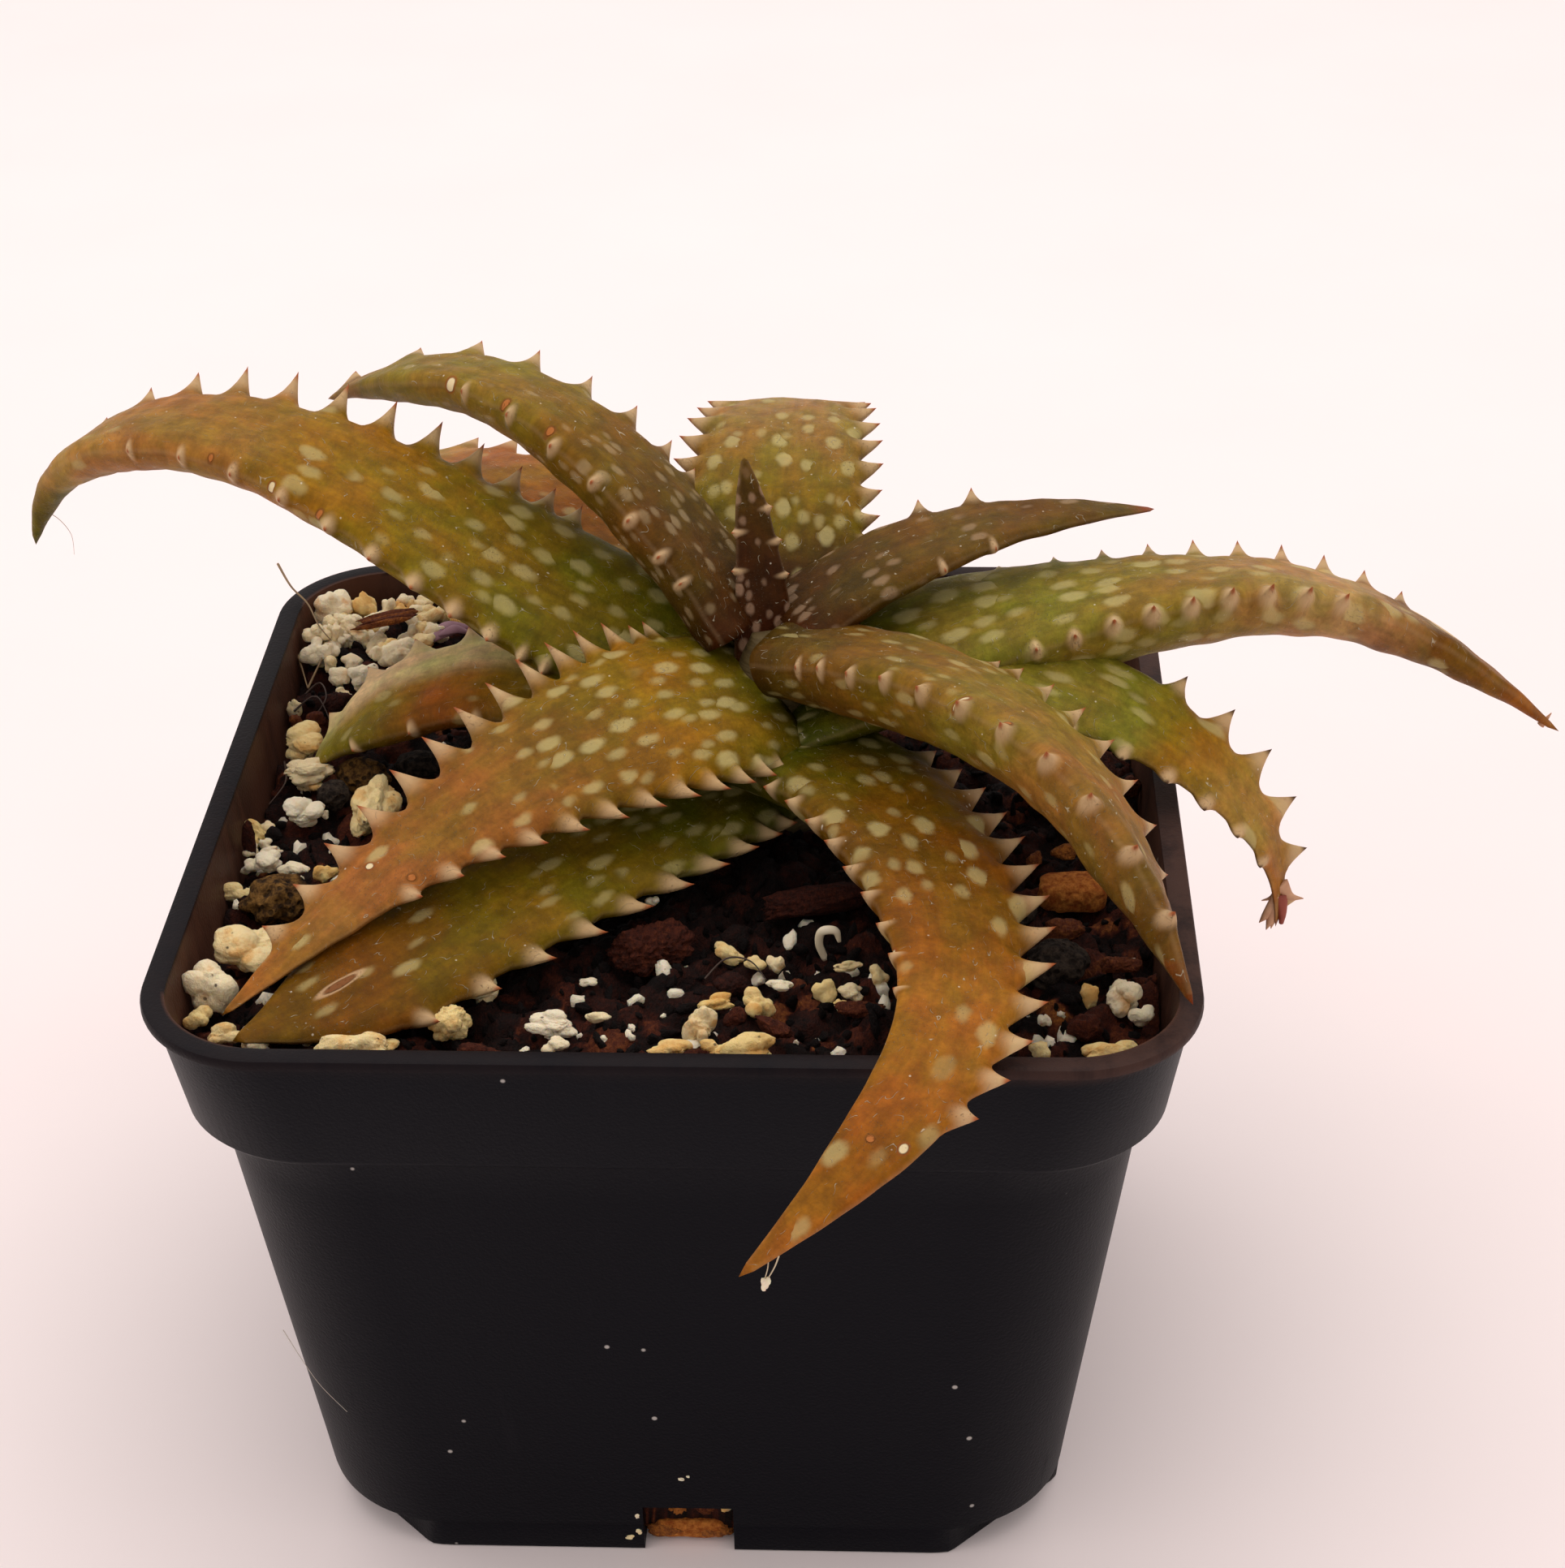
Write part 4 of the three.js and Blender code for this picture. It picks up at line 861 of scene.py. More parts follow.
# %% The leaf's skin
def leaf_skin(name, leaf):
    finish = Finish(name + "_skin")
    style = SKINS[name]
    leaf_place = finish.attribute("leaf_place", output=1)
    tooth = finish.attribute("tooth")
    edge = finish.attribute("edge")
    seed = leaf["length"] * SEED_PER_LENGTH
    where = finish.vector_maths("ADD", leaf_place, (seed, seed, 0))
    t = finish.axis(leaf_place, 1) / leaf["length"]
    patches = finish.noise(where, 0.12, 3.0, 0.6)
    stops = [entry.split() for entry in style["ground"].split(", ")]
    stops = [(float(place), COLOURS[colour]) for colour, place in stops]
    ground = finish.node("ShaderNodeValToRGB", {"stops": stops}, {0: t + 0.22 * (patches - 0.5)})
    streaks = finish.noise(finish.stretched(where, (0.9, 0.12, 1)), 1.0, 3.0, 0.6)
    blotches = finish.noise(where, 0.45, 3.0, 0.55)
    mottle = finish.noise(where, 1.7, 5.0, 0.7)
    shade = finish.step(streaks, 0.3, 0.7, 0.88, 1.12) * finish.step(mottle, 0.3, 0.7, 0.86, 1.14)
    shade = shade * finish.step(blotches, 0.32, 0.68, 0.8, 1.14)
    # Painted light and shade: across the leaf, the far side is blended towards a pale colour where light
    # falls, and the near side is darkened.
    if "lit_far_side" in style:
        across = finish.axis(leaf_place, 0)
        ground = finish.blend(finish.step(across, 1, -2.5) * 0.75, ground, style["lit_far_side"])
        shade = shade * finish.step(across, 1, 5, 1.1, 0.75)
    ground = finish.node("ShaderNodeVectorMath", {"operation": "SCALE"}, {0: ground, "Scale": shade})
    greener = finish.stretched(ground, GREEN_TINT)
    redder = finish.stretched(ground, RED_TINT)
    tint = finish.noise(finish.stretched(where, (1, 0.6, 1)), 0.18, 4.0, 0.6)
    ground = finish.blend(finish.step(tint, 0.34, 0.66), greener, redder)
    *spot_plan, contrast = style["spots"]
    spot = spots_of(finish, where, t, *spot_plan)
    colour = finish.blend(spot * contrast, ground, style.get("spot_colour", SPOT_COLOUR))
    colour = finish.blend(finish.step(edge, 0.8, 1) * 0.1, colour, HORN)
    residue = finish.step(finish.noise(where, 3.4, 4.0, 0.75), 0.58, 0.72) * finish.step(patches, 0.46, 0.62)
    scratch = finish.noise(finish.stretched(where, (1, 0.5, 1)), 0.55, 1.5, 0.5)
    scratch = finish.step(finish.maths("ABSOLUTE", scratch - 0.47), 0.007, 0.002)
    scratch = scratch * finish.step(finish.noise(where, 0.9, 2.0), 0.52, 0.6)
    residue = finish.maths("MAXIMUM", residue, scratch)
    colour = finish.blend(residue * 0.48, colour, paint("#d8ccb0"))
    dust = finish.step(finish.cells(where, 0.5), 0.07, 0.03)
    colour = finish.blend(dust * 0.55, colour, paint("#e2d8c4"))
    colour = finish.blend(finish.step(tooth, 0.14, 0.6) * 0.75, colour, HORN)
    colour = finish.blend(finish.step(tooth, 0.7, 0.92) * 0.9, colour, style.get("tooth_tips", HORN_TIP))
    colour, scar = with_scars(finish, colour, leaf_place, SCARS.get(name, ()))
    rough = 0.34 + 0.2 * finish.step(mottle, 0.3, 0.7) + 0.2 * residue
    height = mottle + 0.5 * streaks + 0.4 * spot + residue + 1.5 * scar
    return finish.shader(bump=height, depth=0.12, Base_Color=colour, Roughness=rough,
                         Specular_IOR_Level=0.07, Subsurface_Weight=0.1,
                         Subsurface_Radius=(0.003, 0.002, 0.0008))


def spots_of(finish, where, t, at_base, at_tip, width, length):
    """Pale spots.

    at_base and at_tip are the shares of them that show there, width and length are the size of the
    patch of skin that each spot has for itself.
    """
    bend = finish.node("ShaderNodeTexNoise", None, {"Vector": where, "Scale": 0.7, "Detail": 2.0}, output=1)
    bend = finish.stretched(bend, (0.3 * width, 0.3 * width, 0))
    moved = finish.vector_maths("ADD", where, bend)
    cells = finish.stretched(moved, (1 / width, 1 / length, 1))
    settings = {"Vector": cells, "Scale": 1.0, "Randomness": 0.85}
    distance, choice = (finish.node("ShaderNodeTexVoronoi", {"voronoi_dimensions": "2D"}, settings, output)
                        for output in (0, 1))
    chance, size = (finish.node("ShaderNodeSeparateColor", None, {0: choice}, output) for output in (0, 1))
    mask = finish.step(distance - (0.15 + 0.19 * size), 0.13, -0.12)
    kept = finish.step(chance - finish.step(t, 0.2, 0.65, at_base, at_tip), 0.02, -0.02)
    return mask * kept * (0.55 + 0.45 * size)


for name, leaf in LEAVES.items():
    carry(grow_leaf(name + "_skinned", leaf, leaf_skin(name, leaf)), "leaf", name)

# %% [markdown]
# ## The stem
# A short woody stem carries the rosette. It is almost hidden between the leaves' bases, so a stack of
# slightly uneven rings is enough, with the scars of fallen leaves running round it.

# %% The stem
STEM_PROFILE = ((6.2, 55), (6.0, 62), (5.2, 70), (4.4, 77), (3.0, 82), (1.6, 84.5))
STEM_PLACE = (7.5, 7)
STEM_RINGS = 40
STEM_POINTS = 48


def grow_stem(finish):
    radii, levels = zip(*STEM_PROFILE)
    angle = full_turn(STEM_POINTS)
    rings = []
    for z in np.linspace(levels[0], levels[-1], STEM_RINGS):
        uneven = 0.97 - 0.03 * np.cos(z * 2.4) ** 2 + 0.02 * np.sin(5 * angle + z)
        rings.append(points_around(angle, np.interp(z, levels, radii) * uneven, z, STEM_PLACE))
    return piece_from("short_stem", *skin_rings(rings), finish)


def stem_bark():
    finish = Finish("stem_bark")
    where = finish.place()
    rings = finish.noise(finish.stretched(where, (0.3, 0.3, 2.0)), 1.0, 4.0, 0.6)
    colour = finish.blend(rings, paint("#3b2a14"), paint("#6d5a2c"))
    return finish.shader(bump=rings, depth=0.3, Base_Color=colour, Roughness=0.75)


carry(grow_stem(stem_bark()), "stem", "stem")

# %% [markdown]
# ## The potting mix
# The mix is bark, grit and crumbs, wet and dark. Its body fills the pot. The top is a fine grid bent
# to the pot's rounded outline, and thousands of small mounds are raised on it, each with its own tone
# of brown, so that it reads as crumbs even between the loose pieces that are strewn on it later.

# %% The mix's sizes, in millimetres
MIX_LEVEL = 63.4
MIX_MOUND = {"place": (-45, 44), "radius": 24, "height": 3.2}
MIX_HALF = 46.6
MIX_CORNER = 11.3
MIX_CELLS = 230
CLOD_COUNT = 2600
BARE_TONE = 0.12
RIPPLE = 0.7
TOP_SUNK = 0.7
GRIT = 0.12
SIDE_DENTS = 0.25
# This share, with the place and radius two lines below it, sets a painted shade: the mix is darker near the
# middle, under the leaves.
CENTRE_SHADE_SHARE = 0.65
OPEN_WITHIN = 0.985
CENTRE_SHADE_PLACE = (-2, -8)
CENTRE_SHADE_RADIUS = 22
MIX_SIDES = (
    (1.8, 37.4, 12.5, 63.2), (5.3, 37.4, 12.5, 63.2), (5.6, 37.7, 12.5, None), (20, 39.7, 13, None),
    (38, 41.9, 13.6, None), (56, 44.2, 14.1, None), (57.8, 46.0, 11.9, None), (61.5, 46.4, 11.5, None),
)


def mix_height(x, y):
    """The level of the mix: almost flat, with a mound in the back left corner and a slow ripple."""
    distance = np.hypot(x - MIX_MOUND["place"][0], y - MIX_MOUND["place"][1]) / MIX_MOUND["radius"]
    mound = MIX_MOUND["height"] * np.maximum(0, 1 - distance ** 2)
    ripple = np.sin(0.55 * x + 1.3) * np.cos(0.48 * y + 0.4) + 0.7 * np.sin(0.93 * x - 0.81 * y)
    return MIX_LEVEL + mound + RIPPLE * ripple


def clods(x, y, random):
    """Small mounds on the mix, and the tone of the highest one at each point."""
    height = np.zeros_like(x)
    tone = np.full_like(x, BARE_TONE)
    for _ in range(CLOD_COUNT):
        middle = random.uniform(-MIX_HALF, MIX_HALF, 2)
        long_half = random.uniform(0.6, 2.4) * random.uniform(0.6, 1.3)
        short_half = long_half * random.uniform(0.45, 1.0)
        turn = random.uniform(0, math.pi)
        right, up = x - middle[0], y - middle[1]
        a = (right * math.cos(turn) + up * math.sin(turn)) / long_half
        b = (up * math.cos(turn) - right * math.sin(turn)) / short_half
        inside = 1 - a * a - b * b
        slope = 0.35 * random.uniform(-1, 1) * a
        raised = short_half * (0.75 * np.sqrt(np.maximum(inside, 0)) + slope) * (inside > 0)
        higher = raised > height
        height[higher] = raised[higher]
        tone[higher] = random.beta(1.6, 2.6)
    return height, tone


# %% [markdown]
# The grid covers a square and is pulled out to the rounded outline, so its cells stay even. Attributes
# on its points carry each mound's tone, darkened near the middle as painted shade under the leaves,
# and say where crumbs and perlite may lie.

# %% The mix's body
def make_mix(finish):
    random = np.random.default_rng(11)
    side = np.linspace(-1, 1, MIX_CELLS + 1)
    u, v = np.meshgrid(side, side)
    angle = np.arctan2(v, u)
    reach = edge_distance(angle, MIX_HALF, MIX_CORNER) * np.maximum(abs(np.cos(angle)), abs(np.sin(angle)))
    x, y = u * reach, v * reach
    raised, tone = clods(x, y, random)
    z = mix_height(x, y) - TOP_SUNK + raised + GRIT * random.standard_normal(x.shape)
    index = np.arange(x.size).reshape(x.shape)
    top = np.stack([x, y, z], 2).reshape(-1, 3)
    a, b, c, d = index[:-1, :-1], index[:-1, 1:], index[1:, 1:], index[1:, :-1]
    faces = np.stack([a, b, c, d], 2).reshape(-1, 4).tolist()
    rim = np.concatenate([index[0, :-1], index[:-1, -1], index[-1, :0:-1], index[:0:-1, 0]])
    turns = angle.ravel()[rim]
    around = len(rim)
    points = [top]
    above = rim
    for level, half, corner, diagonal in reversed(MIX_SIDES):
        distance = edge_distance(turns, half, corner, diagonal) - SIDE_DENTS * random.random(around)
        below = len(top) + (len(points) - 1) * around + np.arange(around)
        points.append(points_around(turns, distance, level))
        faces += np.stack([below, np.roll(below, -1), np.roll(above, -1), above], 1).tolist()
        above = below
    faces.append(above[::-1].tolist())
    piece = piece_from("bark_mix", np.concatenate(points), faces, finish)
    below_count = len(piece.data.vertices) - len(top)
    # Painted shade: the tones near the middle, under the leaves, are darkened.
    centre_shade = np.exp(-((x - CENTRE_SHADE_PLACE[0]) ** 2 + (y - CENTRE_SHADE_PLACE[1]) ** 2) / CENTRE_SHADE_RADIUS ** 2)
    tone = tone * (1 - CENTRE_SHADE_SHARE * centre_shade)
    tones = np.concatenate([tone.ravel(), random.beta(1.5, 3.2, below_count)])
    set_values(piece, "tone", tones)
    open_ground = np.clip((OPEN_WITHIN - np.maximum(abs(u), abs(v))) * 40, 0, 1).ravel()
    set_values(piece, "open_ground", np.concatenate([open_ground, np.zeros(below_count)]))
    pale = pale_share(top[:, 0], top[:, 1]) * open_ground
    set_values(piece, "pale_ground", np.concatenate([pale, np.zeros(below_count)]))
    return piece


PALE_LEAST = 0.06
PALE_PATCHES = (
    (-40, 38, 9, 1.0), (-46, 5, 10, 0.8), (-46, -8, 8, 1.0), (-44, -34, 7, 1.0), (-30, -40, 9, 0.5),
    (-8, -37, 9, 0.4), (8, -34, 11, 0.7), (40, -34, 10, 0.45), (44, 30, 12, 0.25), (10, 42, 14, 0.25))


def pale_share(x, y):
    """How thickly perlite lies at a place."""
    share = np.full_like(x, PALE_LEAST)
    for middle_x, middle_y, radius, amount in PALE_PATCHES:
        share = share + amount * np.exp(-((x - middle_x) ** 2 + (y - middle_y) ** 2) / radius ** 2)
    return np.clip(share, 0, 1)


# %% [markdown]
# One ramp leads from wet black bark to dry orange chips. The tone that is stored on the points picks a
# place on it, and fine noise shifts that place, so that no crumb has just one colour.

# %% The bark's finish
BARK_TONES = [
    (0.0, paint("#0c0403")), (0.18, paint("#1e0b07")), (0.36, paint("#32130b")), (0.55, paint("#4c2012")),
    (0.72, paint("#67341a")), (0.88, paint("#884e24")), (1.0, paint("#b06a2c"))]


def bark_finish(name):
    finish = Finish(name)
    where = finish.place()
    tone = finish.attribute("tone")
    grain = finish.noise(where, 1.6, 5.0, 0.7)
    fibres = finish.noise(finish.stretched(where, (3.0, 0.8, 3.0)), 1.5, 3.0, 0.6)
    shade = tone + 0.8 * (grain - 0.5) + 0.4 * (fibres - 0.5)
    colour = finish.node("ShaderNodeValToRGB", {"stops": BARK_TONES}, {0: shade})
    rough = 0.6 + 0.3 * grain
    return finish.shader(bump=grain + fibres, depth=0.4, Base_Color=colour, Roughness=rough,
                         Specular_IOR_Level=0.15)


mix = make_mix(bark_finish("potting_mix_crumbs"))
carry(mix, "potting_mix", "potting_mix")

# %% [markdown]
# ## Grains
# Perlite is blown volcanic glass and looks like popcorn: a handful of round lobes grown together.
# Bark breaks into chips with flat sides, and pumice is a lump full of pores. Each form below pushes
# the points of a ball in or out, and the result is fitted into the size that the grain has.

# %% The forms of grains
def ball(level):
    """Directions and triangles of an evenly divided ball."""
    mesh = bmesh.new()
    bmesh.ops.create_icosphere(mesh, subdivisions=level, radius=1)
    mesh.verts.ensure_lookup_table()
    points = np.array([vertex.co[:] for vertex in mesh.verts])
    faces = np.array([[vertex.index for vertex in face.verts] for face in mesh.faces])
    mesh.free()
    return points, faces


BALLS = {level: ball(level) for level in (2, 3, 4, 5)}


WAVES = 8
PORES = 40
CHIP_SIDES = 10
CHIP_SHARPNESS = 9


def wobble(directions, random, frequency):
    """A smooth random unevenness between about -1 and 1."""
    total = 0
    for _ in range(WAVES):
        axis = random.standard_normal(3)
        total = total + np.sin(frequency * (directions @ axis) + random.uniform(0, 2 * math.pi))
    return total / 4


def popcorn(directions, random):
    reach = np.full(len(directions), 0.5)
    for _ in range(random.integers(6, 11)):
        middle = random.standard_normal(3)
        middle *= random.uniform(0.35, 0.65) / np.linalg.norm(middle)
        radius = random.uniform(0.26, 0.46)
        along_axis = directions @ middle
        depth = along_axis ** 2 - middle @ middle + radius ** 2
        reach = np.maximum(reach, np.where(depth > 0, along_axis + np.sqrt(np.maximum(depth, 0)), 0))
    reach = reach + 0.045 * wobble(directions, random, 6) + 0.03 * wobble(directions, random, 12)
    return reach + 0.02 * wobble(directions, random, 22)


def chip(directions, random):
    total = 0
    for _ in range(CHIP_SIDES):
        normal = random.standard_normal(3)
        normal /= np.linalg.norm(normal) * random.uniform(0.55, 0.95)
        total = total + np.maximum(directions @ normal, 0) ** CHIP_SHARPNESS
    reach = np.minimum(total ** (-1 / CHIP_SHARPNESS), 1.3)
    return reach + 0.05 * wobble(directions, random, 4) + 0.035 * wobble(directions, random, 10)


def block(directions, random):
    """A lump with flat sides and rounded corners."""
    reach = (np.abs(directions) ** 5).sum(1) ** (-1 / 5)
    return reach + 0.06 * wobble(directions, random, 3) + 0.04 * wobble(directions, random, 9)


def craggy(directions, random):
    """A torn lump of bark, with ledges where it broke."""
    reach = chip(directions, random)
    ledges = 5 * (reach + 0.25 * wobble(directions, random, 6))
    torn = np.floor(ledges) - ledges + np.clip((ledges % 1) * 3, 0, 1)
    reach = reach + 0.34 * torn + 0.06 * wobble(directions, random, 14)
    return reach + 0.03 * wobble(directions, random, 26)


def porous(directions, random):
    reach = 1 + 0.16 * wobble(directions, random, 2.4) + 0.1 * wobble(directions, random, 5)
    reach = reach + 0.05 * wobble(directions, random, 12)
    for _ in range(PORES):
        pore = random.standard_normal(3)
        pore /= np.linalg.norm(pore)
        width = random.uniform(0.1, 0.26)
        near = np.arccos(np.clip(directions @ pore, -1, 1)) / width
        reach = reach - 0.4 * width * np.maximum(0, 1 - near ** 2)
    return reach


# %% [markdown]
# Many small objects slow a scene down. So grains of one kind are joined into one mesh, and each grain
# keeps its own tone in an attribute.

# %% Collecting grains into one piece
class Grains:
    """Grains of one material, collected into a single mesh."""

    def __init__(self):
        self.points = []
        self.faces = []
        self.tones = []
        self.count = 0

    def add(self, form, at, size, turn=0, seed=1, tone=0.5, level=3, tilt=0):
        directions, faces = BALLS[level]
        random = np.random.default_rng(seed)
        points = directions * form(directions, random)[:, None]
        low, high = points.min(0), points.max(0)
        points = (points - (low + high) / 2) / (high - low) * size
        turned = Matrix.Rotation(math.radians(turn), 3, "Z") @ Matrix.Rotation(math.radians(tilt), 3, "Y")
        self.points.append(points @ np.array(turned).T + at)
        self.faces.append(faces + self.count)
        self.tones.append(np.full(len(points), tone))
        self.count += len(points)
        return self

    def piece(self, name, finish):
        piece = piece_from(name, np.concatenate(self.points), np.concatenate(self.faces).tolist(), finish)
        set_values(piece, "tone", np.concatenate(self.tones))
        return piece


# %% [markdown]
# Perlite is pale, with yellow stains, and some light passes through it, which is what subsurface
# scattering is for. Its small holes are darkened with painted shade. Pumice gets its pores from a
# Voronoi pattern that dents it and darkens the pores with painted shade.

# %% The finishes of grains
def perlite_finish():
    finish = Finish("perlite_crust")
    where = finish.place()
    tone = finish.attribute("tone")
    crust = finish.noise(where, 2.6, 5.0, 0.65)
    stain = finish.noise(where, 0.45, 3.0, 0.55)
    colour = finish.blend(tone, paint("#fbecd2"), paint("#f2d48c"))
    stained = finish.step(stain + 0.2 * tone, 0.62, 0.85)
    colour = finish.blend(stained * 0.7, colour, paint("#dfa04c"))
    colour = finish.blend(finish.step(crust, 0.42, 0.25) * 0.25, colour, paint("#c8a070"))
    # Painted shade: small holes are darkened.
    hole = finish.step(finish.cells(where, 0.45), 0.1, 0.05)
    colour = finish.blend(hole * 0.8, colour, paint("#5c4630"))
    return finish.shader(bump=crust - hole, depth=0.32, Base_Color=colour, Roughness=0.85,
                         Specular_IOR_Level=0.2, Subsurface_Weight=0.5,
                         Subsurface_Radius=(0.0016, 0.0011, 0.0006))


def pumice_finish(name, dark, light, pores=0.75):
    finish = Finish(name)
    where = finish.place()
    grain = finish.noise(where, 1.3, 6.0, 0.75)
    pore = finish.step(finish.cells(where, 1.1), 0.42, 0.2)
    colour = finish.blend(finish.step(grain, 0.35, 0.68), paint(dark), paint(light))
    # Painted shade: the pores are darkened nearly to black.
    colour = finish.blend(pore * pores, colour, paint("#130a06"))
    return finish.shader(bump=grain - pores * pore, depth=0.45, Base_Color=colour, Roughness=0.9,
                         Specular_IOR_Level=0.15)


FINISHES = {
    "perlite": perlite_finish(),
    "pumice": pumice_finish("pumice_brown", "#34200f", "#86602e"),
    "charcoal": pumice_finish("pumice_charcoal", "#140e0c", "#483c32"),
    "clay": pumice_finish("clay_orange", "#8a4216", "#cc8038", 0.12),
    "bark": bark_finish("loose_bark"),
}
print("grain finishes:", ", ".join(FINISHES))

# %% [markdown]
# The loose pieces that the frame knows one by one keep their place and size. Each entry gives the kind,
# the middle, the size, the turn about the vertical, a seed for its form, and a tone: for perlite from
# white to yellow, for bark from black to orange.

# %% The loose pieces of the frame
LOOSE = {
    "perlite_left_large": ("perlite", (-33.8, 1.6, 66.2), (5, 9, 4.6), -6, 3, 0.8),
    "perlite_corner_left": ("perlite", (-41.6, -25.4, 66), (8.6, 6.4, 5), -12, 5, 0.7),
    "perlite_front_left": ("perlite", (-29.8, -41, 65.9), (7.4, 4, 3.6), 4, 6, 0.75),
    "perlite_front_pebble": ("perlite", (-21.2, -36.6, 65.6), (4.4, 3.8, 3.8), 20, 7, 0.9),
    "perlite_front_white": ("perlite", (-11.4, -36, 65.2), (5.2, 2.8, 2.6), -12, 8, 0.1),
    "perlite_front_middle": ("perlite", (7, -40.6, 65.6), (6.2, 4, 3.8), 10, 9, 0.95),
    "perlite_front_block": ("perlite", (2.6, -36.4, 65.4), (3.4, 3, 4), 0, 10, 0.6),
    "perlite_right_front": ("perlite", (41.4, -40.4, 65.6), (5.4, 3, 3), 8, 12, 0.9),
    "perlite_right_corner": ("perlite", (43.2, -31.4, 66), (4.4, 3.6, 3.6), 50, 13, 0.3),
    "perlite_left_pebble": ("perlite", (-43.4, 14.6, 66.6), (4.4, 4.2, 3.8), 0, 14, 0.85),
    "perlite_left_flat": ("perlite", (-42.2, 9.4, 66), (5.6, 3.4, 2.8), 8, 15, 0.5),
    "perlite_left_white": ("perlite", (-41.4, 1.4, 65.6), (4.4, 3.6, 3.4), 40, 16, 0.05),
    "pumice_left": ("pumice", (-41.4, -16.2, 66), (7.6, 7, 5.4), 15, 17, 0.5),
    "pumice_middle_left": ("pumice", (-36.4, 9.8, 65.4), (6.6, 4.8, 4), -10, 18, 0.5),
    "bark_front": ("bark", (-3, -23, 65.2), (9, 6, 4.8), 12, 19, 0.5),
    "clay_chip_right": ("clay", (39, -12.2, 65.3), (7.2, 4.2, 3.4), 0, 20, 0.5),
    "pumice_right": ("charcoal", (37, -25, 65.2), (7, 6, 4.4), 30, 21, 0.5),
    "bark_chip_drain": ("clay", (0, -36.6, 1.75), (7.8, 2.6, 2.6), 0, 23, 0.5),
}
FORMS = {"perlite": popcorn, "pumice": porous, "charcoal": porous, "clay": block, "bark": craggy}
SLOTS = {"perlite": "perlite", "pumice": "pumice", "charcoal": "pumice", "clay": "clay", "bark": "bark"}
NODE_SLOTS = {"bark_chip_drain": "bark"}

for name, (kind, at, size, turn, seed, tone) in LOOSE.items():
    grain = Grains().add(FORMS[kind], at, size, turn, seed, tone, level=5)
    carry(grain.piece(name + "_grain", FINISHES[kind]), NODE_SLOTS.get(name, SLOTS[kind]), name)

# %% [markdown]
# The heap in the back left corner is made of grains of 1.5 to 5 mm that lie on each other. The ones
# that can be told apart have their own entry, and smaller ones fill the gaps below them.

# %% The heap
HEAP = (
    (-44.6, 42.2, 68.7, 4.8, 4.2, 4.2, 0.25), (-40.8, 42.3, 68.9, 2.9, 2.8, 2.9, 0.95),
    (-38.4, 42.9, 68.2, 2.2, 2.0, 2.7, 0.35), (-39.5, 40.7, 67.8, 2.3, 1.8, 1.8, 0.3),
    (-42.4, 38.6, 68.3, 4.2, 2.6, 2.8, 0.3), (-45.4, 35.6, 68.7, 3.4, 3.0, 2.8, 0.4),
    (-45.2, 32.6, 67.6, 3.8, 3.2, 3.2, 0.2), (-43.4, 36.0, 68.6, 2.0, 1.8, 2.3, 0.4),
    (-43.4, 31.6, 67.3, 2.6, 1.7, 1.8, 0.6), (-41.0, 37.3, 67.4, 2.4, 1.7, 1.6, 0.35),
    (-35.4, 33.0, 67.5, 4.6, 4.0, 3.8, 0.3), (-33.6, 41.7, 67.5, 3.9, 2.8, 2.6, 0.7),
    (-31.8, 43.4, 67.3, 2.3, 2.2, 2.2, 0.45), (-36.6, 44.8, 68.0, 2.6, 2.2, 2.3, 0.3),
    (-34.6, 44.9, 67.4, 2.6, 2.2, 2.2, 0.5), (-32.3, 37.9, 67.6, 3.3, 2.7, 2.6, 0.2),
    (-32.7, 34.2, 67.0, 2.5, 2.0, 1.9, 0.9), (-30.5, 42.2, 66.9, 2.3, 2.1, 2.1, 1.0),
    (-42.0, 29.2, 66.5, 2.7, 2.4, 2.3, 0.3), (-38.9, 29.0, 66.7, 4.1, 3.4, 3.4, 0.1),
    (-41.5, 26.2, 65.9, 3.2, 2.1, 2.0, 0.5), (-36.2, 30.0, 66.6, 1.7, 1.5, 1.5, 0.2),
)
HEAP_FILL = 52
HEAP_MIDDLE = (-38, 38)
HEAP_HALF = (6.5, 6)
FINE_FROM = 3


def make_heap():
    grains = Grains()
    for k, (x, y, z, width, depth, height, tone) in enumerate(HEAP):
        level = 4 if width > FINE_FROM else 3
        grains.add(popcorn, (x, y, z), (width, depth, height), 37 * k, 100 + k, tone, level)
    random = np.random.default_rng(5)
    for k in range(HEAP_FILL):
        x = HEAP_MIDDLE[0] + HEAP_HALF[0] * random.uniform(-1, 1)
        y = HEAP_MIDDLE[1] + HEAP_HALF[1] * random.uniform(-1, 1)
        size = random.uniform(1.8, 3.2, 3)
        z = mix_height(x, y) + random.uniform(0.3, 1.5)
        grains.add(popcorn, (x, y, z), size, random.uniform(0, 360), 200 + k, random.uniform(0.1, 0.9))
    return grains.piece("perlite_heap_grains", FINISHES["perlite"])


carry(make_heap(), "perlite", "perlite_heap")

# %% [markdown]
# A strip of bark lies across the heap. Chips that are drawn out and laid side by side look like its
# torn fibres.

# %% The bark sliver on the heap
SLIVER_ENDS = ((-42.4, 36.4, 69.2), (-33.6, 39.2, 69.8))
SLIVER_SHARDS = 5
SHARD_WIDTH = 0.9
SHARD_DEPTH = 0.8
SHARD_STEP = (0.1, -0.45, 0)


